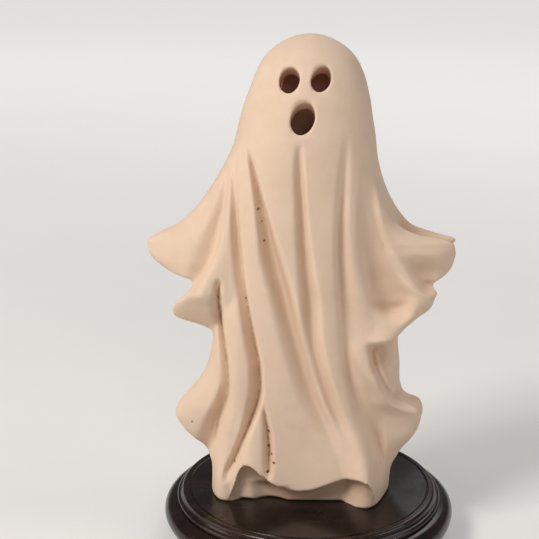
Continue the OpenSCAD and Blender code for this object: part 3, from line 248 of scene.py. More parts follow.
# Rolled edges. Each row: place as a share of half_span, height of the edge, stand-out as a share of
# hem_roll (below zero is pressed in)
FRONT_HEM_SHARES = [
    [-0.52, 0, 0], [-0.49, 0.01, 0.06], [-0.46, 0.03, 0.3], [-0.43, 0.063, 0.6], [-0.40, 0.087, 0.8],
    [-0.36, 0.096, 0.9], [-0.33, 0.092, 0.95], [-0.28, 0.077, 0.95], [-0.214, 0.059, 0.9],
    [-0.15, 0.046, 0.85], [-0.085, 0.04, 0.8], [-0.01, 0.037, 0.8], [0.05, 0.04, 0.8],
    [0.11, 0.047, 0.8], [0.17, 0.055, 0.8], [0.23, 0.063, 0.8], [0.30, 0.071, 0.8],
    [0.36, 0.075, 0.8], [0.405, 0.070, 0.75], [0.435, 0.053, 0.5], [0.455, 0.03, 0.2],
    [0.475, 0.01, 0.04], [0.50, 0, 0]]
BACK_HEM_SHARES = [
    [-0.54, 0, 0], [-0.48, 0.02, 0.3], [-0.40, 0.045, 0.6], [-0.28, 0.08, 0.7], [-0.10, 0.06, 0.7],
    [0.02, 0.045, 0.7], [0.16, 0.075, 0.7], [0.28, 0.07, 0.6], [0.38, 0.04, 0.5], [0.46, 0.02, 0.2],
    [0.52, 0, 0]]
RIGHT_TIER_EDGE_SHARES = [
    [0.32, 0.378, 0], [0.38, 0.377, 0.15], [0.43, 0.377, 0.5], [0.48, 0.377, 0.85], [0.53, 0.377, 1.0],
    [0.60, 0.381, 0.9], [0.67, 0.392, 0.5], [0.73, 0.41, 0]]
POCKET_CREASE_SHARES = [
    [0.39, 0.462, 0], [0.445, 0.447, -0.25], [0.49, 0.437, -0.35], [0.535, 0.43, -0.35],
    [0.58, 0.431, -0.28], [0.63, 0.44, -0.15], [0.67, 0.452, 0]]
BACK_TIER_EDGE_SHARES = [
    [-0.70, 0.35, 0], [-0.62, 0.35, 0.4], [-0.52, 0.355, 0.6], [-0.40, 0.365, 0.6], [-0.28, 0.375, 0.4],
    [-0.16, 0.385, 0]]
# Creases in front with a brown line along their bottom, painted shade and partly dirt, each with the strength
# of its line
CREASE_LINE_SHARES = [
    [0.5, LEFT_TIER_FOLD_SHARES[1:]], [0.55, LEFT_FOLD_SHARES[1:12]], [0.45, SHORT_CREASE_SHARES],
    [0.3, LONG_FOLD_SHARES[-5:]]]
# Pinholes in front: height, place as a share of half_span, radius as a share of the height
PINHOLE_SHARES = [
    [0.655, -0.291, 0.0026], [0.628, -0.268, 0.0016], [0.588, -0.254, 0.0024], [0.46, -0.37, 0.002],
    [0.166, -0.225, 0.003], [0.132, -0.225, 0.0034], [0.116, -0.207, 0.0022], [0.10, -0.191, 0.003],
    [0.078, -0.231, 0.0034], [0.088, -0.447, 0.002], [0.162, -0.735, 0.0022]]
# Each edge with its side (1 in front, -1 behind), the share of the height that it turns in over, and the
# share that it swells over
EDGE_SHARES = [
    [1, 0.010, 0.14, FRONT_HEM_SHARES], [-1, 0.010, 0.14, BACK_HEM_SHARES],
    [1, 0.026, 0.055, RIGHT_TIER_EDGE_SHARES], [1, 0.018, 0.02, POCKET_CREASE_SHARES],
    [-1, 0.016, 0.07, BACK_TIER_EDGE_SHARES]]

# How steeply a swell dies away above its edge
SWELL_POWER = 1.5
# Brown tint, painted shade and partly dirt, deep in the folds and under the edges: its share of a fold's
# depth and of an edge's stand-out, and how far below an edge it reaches
FOLD_SHADE_AND_DIRT_SHARE = 0.6
EDGE_SHADE_AND_DIRT_SHARE = 1.4
UNDER_EDGE_SHADE_REACH_SHARE = 0.09
# The folds, and the painted shade under the edges, fade in from the sides between these two sines of the
# angle
FOLD_FADE_SHARES = (0, 0.25)
UNDER_EDGE_SHADE_FADE_SHARES = (0.2, 0.7)

# Rows of points below the dome, outside and inside: from height, to height, steps
ROW_SHARES = [
    [0, 0.08, 6], [0.08, 0.17, 6], [0.17, 0.22, 5], [0.22, 0.33, 6], [0.33, 0.40, 6], [0.40, 0.45, 3],
    [0.45, 0.50, 5], [0.50, 0.55, 3], [0.55, 0.60, 6], [0.60, 0.78, 10]]
INNER_ROW_SHARES = [[0, 0.20, 4], [0.20, 0.78, 6]]
# Rows in the dome, and which of them cross the middles of the mouth and of the eyes
DOME_ROWS = 20
MOUTH_ROW = 4
EYE_ROW = 9
# Columns of points round the body, and which of them cross the middles of the eyes and of the mouth
RIGHT_EYE_COLUMN = 21
MOUTH_COLUMN = 24
LEFT_EYE_COLUMN = 27
COLUMNS = 56
# Columns to the right of the face and past it round the back: column, angle in degrees
SIDE_COLUMNS = [[0, -34], [14, 36]]
FAR_COLUMNS = [[34, 150], [43, 200], [56, 326]]
# Steps from the middle of a face hole to its edge
HOLE_STEPS = 2
# The turn of an edge that is rubbed most, in radians per metre
SHARP_TURN = 900


# Tables and curves

def slopes(x, v):
    """The slope at each row of a table: a weighted harmonic mean of the rises beside it, zero at a turn."""
    h = np.diff(x)
    d = np.diff(v) / h
    a, b, p, r = d[:-1], d[1:], h[:-1], h[1:]
    same_way = a * b > 0
    a = np.where(same_way, a, 1.0)
    b = np.where(same_way, b, 1.0)
    inner = np.where(same_way, 3 * (p + r) / ((2 * r + p) / a + (r + 2 * p) / b), 0.0)
    return np.concatenate([d[:1], inner, d[-1:]])


def smooth(table, q, k=1):
    """Column k of a table at q: cubic pieces from row to row with those slopes, held level past its ends."""
    t = np.asarray(table, float)
    x, v = t[:, 0], t[:, k]
    m = slopes(x, v)
    q = np.clip(q, x[0], x[-1])
    i = np.clip(np.searchsorted(x, q, side="right") - 1, 0, len(x) - 2)
    h = x[i + 1] - x[i]
    u = (q - x[i]) / h
    w = 1 - u
    ends = w * w * (1 + 2 * u) * v[i] + u * u * (1 + 2 * w) * v[i + 1]
    return ends + u * w * h * (w * m[i] - u * m[i + 1])


def ease(a, b, q):
    """A rise from 0 at a to 1 at b, level at both ends."""
    u = np.clip((q - a) / (b - a), 0, 1)
    return u * u * (3 - 2 * u)


def bell(u, p):
    """A bump that is 1 at 0 and level with the ground at -1 and 1; a lower p makes its top sharper."""
    return (1 - np.minimum(np.abs(u), 1) ** p) ** 2


def power(c, e):
    """The size of c to the power e, with c's sign."""
    return np.sign(c) * np.abs(c) ** e


def quarter_round(r, q):
    """How far a quarter round of radius r falls back at a distance q from its edge: r at 0, nothing at r."""
    return r - np.sqrt(r * r - (r - q) ** 2)


def within(table, q):
    """True where q lies between a table's first and last rows."""
    return (q >= table[0][0]) & (q <= table[-1][0])


# The ghost

class GhostForm:
    """The shell as functions of a height share and an angle in degrees, from the right side to the front."""

    def __init__(self, ghost, face):
        self.ghost = ghost
        self.height = ghost.height
        self.inner_height = ghost.height - ghost.head_wall
        self.half_span = ghost.arm_span / 2
        self.half_depth = ghost.body_depth / 2
        self.outer_holes = self.holes(face, 0.0, 0.0)
        self.inner_holes = self.holes(face, face.hole_fall, face.hole_toe_in)

    def holes(self, face, fall, toe_in):
        """The face holes: x, height, half width, half height, lean, row of the dome, column."""
        eye_z = self.height - face.eye_drop - fall
        eye_x = face.eye_pitch / 2 - toe_in
        eye = [face.eye_width / 2, face.eye_height / 2, face.hole_lean, EYE_ROW]
        return [
            [face.shift + eye_x, eye_z + face.eye_rise / 2, *eye, RIGHT_EYE_COLUMN],
            [face.shift + face.mouth_shift, eye_z - face.mouth_drop, face.mouth_width / 2,
             face.mouth_height / 2, face.hole_lean, MOUTH_ROW, MOUTH_COLUMN],
            [face.shift - eye_x, eye_z - face.eye_rise / 2, *eye, LEFT_EYE_COLUMN],
        ]

    def wall(self, z):
        """Thickness of the wall at a height share: it goes from the foot's to the skirt's to the head's."""
        g = self.ghost
        to_head = smooth(WALL_SHARES, z, 2)
        return g.foot_wall + (g.skirt_wall - g.foot_wall) * smooth(WALL_SHARES, z) + (
            g.head_wall - g.skirt_wall) * to_head

    def dome(self, z):
        """What is left of the section's size in the dome: a quarter of an ellipse."""
        u = np.maximum(z - (1 - DOME_SHARE), 0) / DOME_SHARE
        return np.sqrt(np.maximum(1 - u * u, 0))

    def body(self, z, angle, wall=0.0):
        """The plain body: at each height a superellipse with its own half sizes to each side, less the wall.
        x is the half width times the cosine and y the half depth times the sine, each to a power that makes
        the section squarer, and both shrink with the dome."""
        c, d = np.cos(np.radians(angle)), np.sin(np.radians(angle))
        e = 2 / smooth(SQUARE_SHARES, z)
        a = self.half_span * np.where(c < 0, smooth(LEFT_SHARES, z), smooth(RIGHT_SHARES, z)) - wall
        b = self.half_depth * np.where(d > 0, smooth(DEPTH_SHARES, z, 1), smooth(DEPTH_SHARES, z, 2)) - wall
        dome = self.dome(z)
        x = power(c, e) * a * dome + self.half_span * smooth(LEAN_SHARES, z)
        return x, -power(d, e) * b * dome

    def outside(self, z, angle):
        """The draped outside: the body, drawn out sideways and forwards by the arms and tiers, pressed in by
        the folds and swelled by the rolled edges, which both fade out at the sides. Also gives each point's
        share of brown tint, which is painted shade and partly dirt, from the depth of its fold or, below an
        edge, from the edge's stand-out."""
        g = self.ghost
        x, y = self.body(z, angle)
        d = np.sin(np.radians(angle))
        forward = np.zeros_like(x)
        for t in FIN_SHARES:
            turn = (angle - smooth(t, z) + 180) % 360 - 180
            here = within(t, z) * bell(turn / smooth(t, z, 4), 2)
            x = x + here * self.half_span * smooth(t, z, 2)
            forward += here * g.fold_depth * smooth(t, z, 3)
        side, q = np.where(d > 0, 1, -1), x / self.half_span
        inward, darkening = np.zeros_like(x), np.zeros_like(x)
        for face, sharpness, t in FOLD_SHARES:
            off = q - smooth(t, z)
            reach = np.where(off < 0, smooth(t, z, 3), smooth(t, z, 4))
            press = (side == face) * within(t, z) * smooth(t, z, 2) * bell(off / reach, sharpness)
            inward += g.fold_depth * press
            # Painted shade, partly dirt: the deeper the fold, the more brown tint
            darkening = np.maximum(darkening, FOLD_SHADE_AND_DIRT_SHARE * press)
        for face, soft, flare, t in EDGE_SHARES:
            v = z - smooth(t, q)
            here, stand_out = (side == face) * within(t, q), smooth(t, q, 2)
            turned_in = ease(-soft, 0, v)
            swell = here * stand_out * turned_in * np.clip(1 - v / flare, 0, 1) ** SWELL_POWER
            inward -= g.hem_roll * swell
            # Painted shade, partly dirt: brown tint just below each edge, by the edge's stand-out
            below = ease(-UNDER_EDGE_SHADE_REACH_SHARE, -2 * soft, v) * (1 - turned_in)
            below *= here * np.minimum(EDGE_SHADE_AND_DIRT_SHARE * stand_out, 1)
            darkening = np.maximum(darkening, below * ease(*UNDER_EDGE_SHADE_FADE_SHARES, np.abs(d)))
        y = y - forward + side * ease(*FOLD_FADE_SHARES, np.abs(d)) * inward
        return x, y, z * self.height, darkening

    def lining(self, z, angle):
        """The inside of the wall: the plain body, drawn in by the wall, with no folds."""
        x, y = self.body(z, angle, self.wall(z))
        return x, y, z * self.inner_height, np.zeros_like(x)

    def angle_at(self, z, x, wall):
        """The angle at which the front of the plain body has a given x."""
        u = x - self.half_span * smooth(LEAN_SHARES, z)
        side = np.where(u < 0, smooth(LEFT_SHARES, z), smooth(RIGHT_SHARES, z))
        a = (self.half_span * side - wall) * self.dome(z)
        share = power(np.minimum(np.abs(u) / a, 1) * np.sign(u), smooth(SQUARE_SHARES, z) / 2)
        return np.degrees(np.arccos(share))


def row_heights(bands, knots, i):
    """Height shares of row numbers: even steps in each band, then even in the dome's own angle."""
    ends = np.cumsum([0] + [b[2] for b in bands])
    first = ends[-1]
    low = np.interp(i, ends, [b[0] for b in bands] + [bands[-1][1]])
    dome = 1 - DOME_SHARE + DOME_SHARE * np.sin(np.radians(smooth(knots, i - first)))
    return np.where(i < first, low, dome)


def pulled_to_holes(holes, row, column, x_start, z_start):
    """Pulls the grid so that each square of steps round a hole's middle lands on the hole's ellipse. From the
    middle to the square's edge the pull is whole, and it eases away over as many steps again. Where the pulls
    of two holes meet, the nearer one wins. Gives x, height and a mask of the points that move."""
    pulls, places, away = [], [], []
    for cx, cz, half_w, half_h, lean, hole_row, hole_column in holes:
        u, v = (hole_column - column) / HOLE_STEPS, (row - hole_row) / HOLE_STEPS
        reach = np.maximum(np.abs(u), np.abs(v))
        k = np.divide(reach, np.hypot(u, v), out=np.zeros_like(u), where=reach > 0)
        pulls.append(1 - ease(1, 2, reach))
        away.append(np.maximum(reach - 1, 0) + 1e-9)
        places.append((cx + half_w * u * k + half_h * v * k * math.tan(lean), cz + half_h * v * k))
    x, z = x_start, z_start
    for n, (px, pz) in enumerate(places):
        own = pulls[n] * np.prod([q / (q + away[n]) for m, q in enumerate(away) if m != n], axis=0)
        x = x + own * (px - x_start)
        z = z + own * (pz - z_start)
    return x, z, np.max(pulls, axis=0) > 0


def softened(form, px, py, pz, angle):
    """x and y of the outside with a quarter round rolled in at the edge of each face hole and of the foot."""
    rim, foot = form.ghost.hole_rim, form.ghost.foot_edge
    front = np.sin(np.radians(angle)) > 0
    for cx, cz, half_w, half_h, lean, _, _ in form.outer_holes:
        u = (px - cx - (pz - cz) * math.tan(lean)) / half_w
        v = (pz - cz) / half_h
        off = np.clip((np.hypot(u, v) - 1) * math.sqrt(half_w * half_h), 0, rim)
        py = py + front * quarter_round(rim, off)
    shrink = 1 - quarter_round(foot, np.clip(pz, 0, foot)) / np.hypot(px, py)
    return px * shrink, py * shrink


def sheet(form, bands, inner, row_steps, column_steps):
    """One sheet of the shell, the outside or the lining, as a grid of rows and columns that is pulled onto
    the face holes. Gives the points, their shares of brown tint (painted shade and partly dirt) and a mask of
    the cells that lie in no hole."""
    if inner:
        h, holes, wall = form.inner_height, form.inner_holes, form.wall
    else:
        h, holes, wall = form.height, form.outer_holes, np.zeros_like
    first = sum(b[2] for b in bands)
    i = np.arange(0, (first + DOME_ROWS) * row_steps) / row_steps
    j = np.arange(0, COLUMNS * column_steps) / column_steps
    eye_angle, mouth_angle = [
        math.degrees(math.asin((cz / h - 1 + DOME_SHARE) / DOME_SHARE)) for _, cz, *_ in holes[:2]]
    knots = [[0, 0], [MOUTH_ROW, mouth_angle], [EYE_ROW, eye_angle], [DOME_ROWS, 90]]
    face_columns = [
        [hole_column, float(form.angle_at(cz / h, cx, wall(cz / h)))] for cx, cz, *_, hole_column in holes]
    z, angle = np.meshgrid(
        row_heights(bands, knots, i), smooth(SIDE_COLUMNS + face_columns + FAR_COLUMNS, j), indexing="ij")
    row, column = np.meshgrid(i - first, j, indexing="ij")

    x, up, moved = pulled_to_holes(holes, row, column, form.body(z, angle, wall(z))[0], z * h)
    z = np.where(moved, up / h, z)
    angle = np.where(moved, form.angle_at(z, x, wall(z)), angle)
    px, py, pz, darkening = form.lining(z, angle) if inner else form.outside(z, angle)
    if not inner:
        px, py = softened(form, px, py, pz, angle)

    mid_row = row[:-1, :] + 0.5 / row_steps
    mid_column = column[:-1, :] + 0.5 / column_steps
    solid = np.ones_like(mid_row, bool)
    for *_, hole_row, hole_column in holes:
        solid &= (np.abs(mid_row - hole_row) > HOLE_STEPS) | (np.abs(mid_column - hole_column) > HOLE_STEPS)
    return np.stack([px, py, pz], -1), darkening, solid


def hole_loop(hole, bands, row_steps, column_steps):
    """Grid rows and columns round a hole, clockwise as seen from in front, in the fine grid's numbers."""
    *_, hole_row, hole_column = hole
    r = (sum(b[2] for b in bands) + hole_row) * row_steps
    c = hole_column * column_steps
    a, b = HOLE_STEPS * row_steps, HOLE_STEPS * column_steps
    along, up = np.arange(-b, b), np.arange(-a, a)
    rows = np.concatenate([np.full(2 * b, r - a), r + up, np.full(2 * b, r + a), r - up])
    columns = np.concatenate([c + along, np.full(2 * a, c + b), c - along, np.full(2 * a, c - b)])
    return rows, columns


def ring_of(numbers):
    """Each number with the next one round a closed ring."""
    return numbers, np.roll(numbers, -1)


def quads(a, b, c, d):
    """Faces of four corners from four arrays of point numbers."""
    return np.stack([a.ravel(), b.ravel(), c.ravel(), d.ravel()], -1)


def ghost_mesh(form, row_steps, column_steps, tunnel_steps):
    """The whole shell as points, four-cornered faces, fans, shares of brown tint (painted shade and partly
    dirt) and lining shares, which go from 0 outside to 1 inside. The outside and the lining are joined by a
    ring at the foot and by a tunnel through each face hole, and each dome closes in a fan at its top."""
    outer, darkening, outer_solid = sheet(form, ROW_SHARES, False, row_steps, column_steps)
    inner, _, inner_solid = sheet(form, INNER_ROW_SHARES, True, row_steps, column_steps)
    n_columns = COLUMNS * column_steps
    n, m = outer.shape[0] * n_columns, inner.shape[0] * n_columns
    outer_at = np.arange(n).reshape(-1, n_columns)
    inner_at = n + np.arange(m).reshape(-1, n_columns)
    tip_x = form.half_span * float(smooth(LEAN_SHARES, 1.0))
    tips = np.array([[tip_x, 0, form.height], [tip_x, 0, form.inner_height]])
    points = [outer.reshape(-1, 3), inner.reshape(-1, 3), tips]
    lining = [np.zeros(n), np.ones(m), np.array([0.0, 1.0])]
    faces, fans = [], []

    def cells(at, solid, turned):
        """The faces of a sheet's solid cells, turned over for the lining."""
        a, b = at[:-1], at[1:]
        c, d = np.roll(b, -1, 1), np.roll(a, -1, 1)
        four = (a, d, c, b) if turned else (a, b, c, d)
        return quads(*[q[solid] for q in four])

    faces += [cells(outer_at, outer_solid, False), cells(inner_at, inner_solid, True)]
    a, b = ring_of(outer_at[-1])
    fans.append(np.stack([a, np.full_like(a, n + m), b], -1))
    a, b = ring_of(inner_at[-1])
    fans.append(np.stack([b, np.full_like(a, n + m + 1), a], -1))
    a, b = ring_of(outer_at[0])
    c, d = ring_of(inner_at[0])
    faces.append(quads(a, b, d, c))

    start = n + m + 2
    for front, back in zip(form.outer_holes, form.inner_holes):
        rows, columns = hole_loop(front, ROW_SHARES, row_steps, column_steps)
        near = outer_at[rows, columns]
        rows, columns = hole_loop(back, INNER_ROW_SHARES, row_steps, column_steps)
        far = inner_at[rows, columns]
        near_points, far_points = points[0][near], points[1][far - n]
        steps = np.arange(1, tunnel_steps)[:, None, None] / tunnel_steps
        between = near_points + (far_points - near_points) * steps
        points.append(between.reshape(-1, 3))
        lining.append(np.repeat(steps.ravel(), len(near)))
        rings = np.vstack([near, start + np.arange(between.shape[0] * len(near)).reshape(-1, len(near)), far])
        start += between.shape[0] * len(near)
        for p, q in zip(rings[:-1], rings[1:]):
            (a, b), (c, d) = ring_of(p), ring_of(q)
            faces.append(quads(a, c, d, b))
    darkening = np.concatenate([darkening.ravel(), np.zeros(start - n)])
    return np.concatenate(points), np.concatenate(faces), np.concatenate(fans), darkening, np.concatenate(lining)


# Turned pieces

def arc(x, z, r, start, end, steps):
    """Points on an arc about (x, z) from one angle to another, in degrees, as radius and height."""
    a = np.radians(np.linspace(start, end, steps + 1))
    return np.stack([x + r * np.cos(a), z + r * np.sin(a)], -1)


def line(*corners, step=0.0015):
    """Points along straight runs between corners, a step apart, without the last corner."""
    out = []
    for p, q in zip(corners[:-1], corners[1:]):
        p, q = np.array(p, float), np.array(q, float)
        n = max(1, int(np.ceil(np.linalg.norm(q - p) / step)))
        out.append(p + (q - p) * (np.arange(n) / n)[:, None])
    return np.concatenate(out)


def convexity(profile):
    """How strongly each point of a profile turns outwards for its spacing, from 0 to 1 at a turn of
    SHARP_TURN, for worn edges."""
    d = np.gradient(profile, axis=0)
    way = np.unwrap(np.arctan2(d[:, 1], d[:, 0]))
    span = np.hypot(d[:, 0], d[:, 1]) + 1e-9
    turn = np.gradient(way) / span
    return np.clip(turn / SHARP_TURN, 0, 1)


def lathe(profile, segments):
    """A profile of radius and height turned about the Z axis. Its ends lie on the axis and close in fans."""
    inner = profile[1:-1]
    a = np.linspace(0, 2 * np.pi, segments, endpoint=False)
    ring = np.stack([np.cos(a), np.sin(a)], -1)
    xy = inner[:, None, :1] * ring[None]
    z = np.broadcast_to(inner[:, None, 1:], (len(inner), segments, 1))
    points = np.concatenate([np.concatenate([xy, z], -1).reshape(-1, 3),
                             [[0, 0, profile[0, 1]], [0, 0, profile[-1, 1]]]])
    at = np.arange(len(inner) * segments).reshape(-1, segments)
    low, high = at[:-1], at[1:]
    faces = quads(low, np.roll(low, -1, 1), np.roll(high, -1, 1), high)
    first, last = len(points) - 2, len(points) - 1
    a, b = ring_of(at[0])
    c, d = ring_of(at[-1])
    fans = np.concatenate([np.stack([b, a, np.full_like(a, first)], -1),
                           np.stack([c, d, np.full_like(c, last)], -1)])
    return points, faces, fans


def new_piece(name, points, faces, fans, body, node, material, values=None, crease=55):
    """A mesh object from arrays, which stands for a CAD node, rides on its body and has its finish."""
    mesh = bpy.data.meshes.new(name)
    mesh.from_pydata(points.tolist(), [], faces.tolist() + fans.tolist())
    mesh.validate()
    mesh.polygons.foreach_set("use_smooth", np.ones(len(mesh.polygons), bool))
    mesh.set_sharp_from_angle(angle=math.radians(crease))
    for key, value in (values or {}).items():
        mesh.attributes.new(key, "FLOAT", "POINT").data.foreach_set("value", np.asarray(value, np.float32))
    mesh.materials.append(material)
    mesh.update()
    piece = bpy.data.objects.new(name, mesh)
    bpy.context.scene.collection.objects.link(piece)
    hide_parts(node)
    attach(piece, body)
    return piece


# Finishes

class Finish:
    """A material's node tree, with one call to add a node and link or set its inputs."""

    def __init__(self, name):
        self.material = bpy.data.materials.new(name)
        self.material.use_nodes = True
        self.tree = self.material.node_tree
        self.shader = self.tree.nodes["Principled BSDF"]
        self.place = self.add("ShaderNodeTexCoord").outputs["Object"]

    def add(self, kind, inputs=None, **settings):
        """A new node with its settings and its inputs, which are sockets or values."""
        node = self.tree.nodes.new(kind)
        for key, value in settings.items():
            setattr(node, key, value)
        for key, value in (inputs or {}).items():
            self.put(node.inputs[key], value)
        return node

    def put(self, socket, value):
        """Links a socket to the input, or sets it to a value."""
        if isinstance(value, bpy.types.NodeSocket):
            self.tree.links.new(value, socket)
        else:
            socket.default_value = value

    def set(self, **inputs):
        """Sets or links inputs of the shader, with _ for each space of a name."""
        for key, value in inputs.items():
            self.put(self.shader.inputs[key.replace("_", " ")], value)

    def maths(self, operation, *values):
        """The result of an operation on sockets or values."""
        return self.add("ShaderNodeMath", dict(enumerate(values)), operation=operation).outputs[0]

    def plus(self, a, b):
        return self.maths("ADD", a, b)

    def minus(self, a, b):
        return self.maths("SUBTRACT", a, b)

    def times(self, a, b):
        return self.maths("MULTIPLY", a, b)

    def over(self, a, b):
        return self.maths("DIVIDE", a, b)

    def larger(self, a, b):
        return self.maths("MAXIMUM", a, b)

    def noise(self, scale, detail=3.0, roughness=0.5, place=None):
        inputs = {"Vector": place or self.place, "Scale": scale, "Detail": detail, "Roughness": roughness}
        return self.add("ShaderNodeTexNoise", inputs).outputs["Fac"]

    def ramp(self, value, low, high):
        """0 at low, 1 at high, smooth between."""
        node = self.add("ShaderNodeMapRange", {"Value": value, "From Min": low, "From Max": high},
                        interpolation_type="SMOOTHSTEP")
        return node.outputs["Result"]

    def tint(self, base, other, where, strength=1.0):
        """The base colour mixed with another one, by a strength times a share that varies with the place."""
        node = self.add("ShaderNodeMix", data_type="RGBA")
        share, first, second = [q for q in node.inputs if q.enabled and q.name in ("Factor", "A", "B")]
        self.put(share, self.times(where, strength))
        for socket, value in ((first, base), (second, other)):
            self.put(socket, value if isinstance(value, bpy.types.NodeSocket) else (*value, 1))
        return [q for q in node.outputs if q.enabled][0]

    def attribute(self, name):
        return self.add("ShaderNodeAttribute", attribute_name=name).outputs["Fac"]

    def curve(self, value, points):
        """A smooth curve through points of (value, result), both from 0 to 1."""
        node = self.add("ShaderNodeFloatCurve", {"Value": value})
        knots = node.mapping.curves[0].points
        knots[0].location, knots[1].location = points[0], points[-1]
        for x, y in points[1:-1]:
            knots.new(x, y)
        node.mapping.update()
        return node.outputs[0]

    def bump(self, height, distance, strength=1.0, under=None):
        """A normal that a height field of this depth in metres tilts, on top of another one if given."""
        inputs = {"Height": height, "Distance": distance, "Strength": strength}
        if under is not None:
            inputs["Normal"] = under
        return self.add("ShaderNodeBump", inputs).outputs["Normal"]


def crease_lines(f, height, across, wander):
    """Thin brown lines along the bottoms of the listed creases, painted shade and partly dirt. A curve gives
    each one's place at a height. A line is full within its core and gone at its half width, and it fades over
    its lower and its upper end."""
    half_width, core = 0.014, 0.002
    lower_end, upper_end = (0.02, 0.15), (0.98, 0.8)
    out = 0.0
    for strength, t in CREASE_LINE_SHARES:
        low, high = t[0][0], t[-1][0]
        u = f.over(f.minus(height, low), high - low)
        place = f.curve(u, [((q[0] - low) / (high - low), (q[1] + 1) / 2) for q in t])
        place = f.minus(f.times(place, 2.0), 1.0)
        off = f.maths("ABSOLUTE", f.plus(f.minus(across, place), wander))
        ends = f.times(f.ramp(u, *lower_end), f.ramp(u, *upper_end))
        out = f.larger(out, f.times(f.times(f.ramp(off, half_width, core), ends), strength))
    return out


def pinholes(f, height, across, form):
    """Small round pits at the places of the table, each full within its core and gone at its rim."""
    rim, core = 1.3, 0.5
    out = 0.0
    for z, x, radius in PINHOLE_SHARES:
        up = f.minus(height, z)
        along = f.times(f.minus(across, x), form.half_span / form.height)
        away = f.maths("SQRT", f.plus(f.times(up, up), f.times(along, along)))
        out = f.larger(out, f.ramp(away, radius * rim, radius * core))
    return out


def bisque_finish(colours, form, base_z):
    """Unglazed ivory ceramic: faint mottling, a fine grain, pinholes and bare clay inside. Painted shade,
    partly dirt: a brown tint deep in the folds and under the edges and brown lines along the bottoms of
    creases. Painted shade: darker brown on the walls of the face holes.
    """
    f = Finish("ivory_bisque")
    darkening, lining = f.attribute("darkening"), f.attribute("lining")
    mottle = f.ramp(f.noise(scale=45, detail=4, roughness=0.6), 0.35, 0.70)
    cloud = f.ramp(f.noise(scale=160, detail=5, roughness=0.65), 0.42, 0.75)
    base = f.tint(colours.bisque, colours.bisque_shade, mottle, 0.35)
    base = f.tint(base, colours.bisque_shade, cloud, 0.22)
    # Painted shade, partly dirt: brown tint deep in the folds and, stronger, under the edges
    fold_shade_and_dirt, under_edge_shade_and_dirt = f.ramp(darkening, 0.15, 0.51), f.ramp(darkening, 0.62, 0.95)
    base = f.tint(base, colours.darkening, fold_shade_and_dirt, 0.28)
    base = f.tint(base, colours.darkening, under_edge_shade_and_dirt, 0.7)
    front_from, wander, least = -0.004, 0.012, 0.35
    x, y, z = f.add("ShaderNodeSeparateXYZ", {0: f.place}).outputs
    front = f.ramp(y, 0.0, front_from)
    height = f.over(f.minus(z, base_z), form.height)
    across = f.over(f.minus(x, form.ghost.shift_x), form.half_span)
    ragged = f.noise(scale=420, detail=4, roughness=0.6)
    # Painted shade, partly dirt: dark brown lines along the crease bottoms, ragged and broken by noise, on
    # the front only
    seam = crease_lines(f, height, across, f.times(f.minus(ragged, 0.5), wander))
    broken = f.plus(least, f.times(f.ramp(ragged, 0.35, 0.60), 1 - least))
    seam = f.times(f.times(seam, front), broken)
    pit = f.times(pinholes(f, height, across, form), front)
    base = f.tint(base, colours.seam, seam)
    base = f.tint(base, colours.speck, pit)
    # Painted shade: the walls of the face holes get a darker brown; the hollow gets the bare clay colour
    hole_wall_shade, in_hollow = f.ramp(lining, 0.0, 0.45), f.ramp(lining, 0.8, 1.0)
    base = f.tint(base, colours.hole, hole_wall_shade)
    base = f.tint(base, colours.lining, in_hollow)
    grain, skin = f.noise(scale=2600, roughness=0.6), f.noise(scale=700, detail=4, roughness=0.55)
    normal = f.bump(grain, distance=0.00006, strength=0.5)
    normal = f.bump(skin, distance=0.00012, strength=0.5, under=normal)
    normal = f.bump(f.minus(1.0, f.larger(seam, pit)), distance=0.0004, strength=0.5, under=normal)
    f.set(Base_Color=base, Roughness=f.plus(0.72, f.times(cloud, 0.12)), Normal=normal)
    f.set(Specular_IOR_Level=0.35)
    return f.material


def lacquer_finish(colours):
    """Black-brown gloss lacquer over wood: a faint grain, brown where edges are rubbed, smudges and dust."""
    f = Finish("dark_lacquer")
    stretched = f.add("ShaderNodeMapping", {"Vector": f.place, "Scale": (1.0, 14.0, 14.0)}).outputs["Vector"]
    grain = f.noise(scale=26, detail=6, roughness=0.62, place=stretched)
    patches = f.ramp(f.noise(scale=120, detail=4, roughness=0.6), 0.40, 0.62)
    rubbed = f.times(f.attribute("worn"), patches)
    base = f.tint(colours.lacquer, colours.lacquer_grain, f.ramp(grain, 0.42, 0.68))
    base = f.tint(base, colours.lacquer_worn, rubbed, 0.6)
    smudge = f.ramp(f.noise(scale=38, detail=5, roughness=0.6), 0.35, 0.75)
    dust = f.ramp(f.noise(scale=900, roughness=0.6), 0.62, 0.80)
    rough = f.plus(f.plus(0.16, f.times(smudge, 0.16)), f.times(dust, 0.18))
    normal = f.bump(grain, distance=0.00003, strength=0.35)
    normal = f.bump(f.noise(scale=300), distance=0.00003, strength=0.4, under=normal)
    f.set(Base_Color=base, Roughness=rough, Normal=normal, Coat_Weight=0.10, Coat_Roughness=0.08)
    f.set(Specular_IOR_Level=0.30)
    return f.material


def felt_finish(colours):
    """Dark felt: short tangled fibres in two tones with a soft sheen."""
    f = Finish("dark_felt")
    tangle = f.noise(scale=1800, detail=6, roughness=0.7)
    patches = f.ramp(f.noise(scale=140), 0.4, 0.7)
    base = f.tint(colours.felt, colours.felt_light, f.ramp(tangle, 0.35, 0.7))
    base = f.tint(base, colours.felt, patches, 0.3)
    normal = f.bump(tangle, distance=0.0004, strength=0.8)
    f.set(Base_Color=base, Normal=normal, Roughness=0.95, Sheen_Weight=0.4)
    return f.material


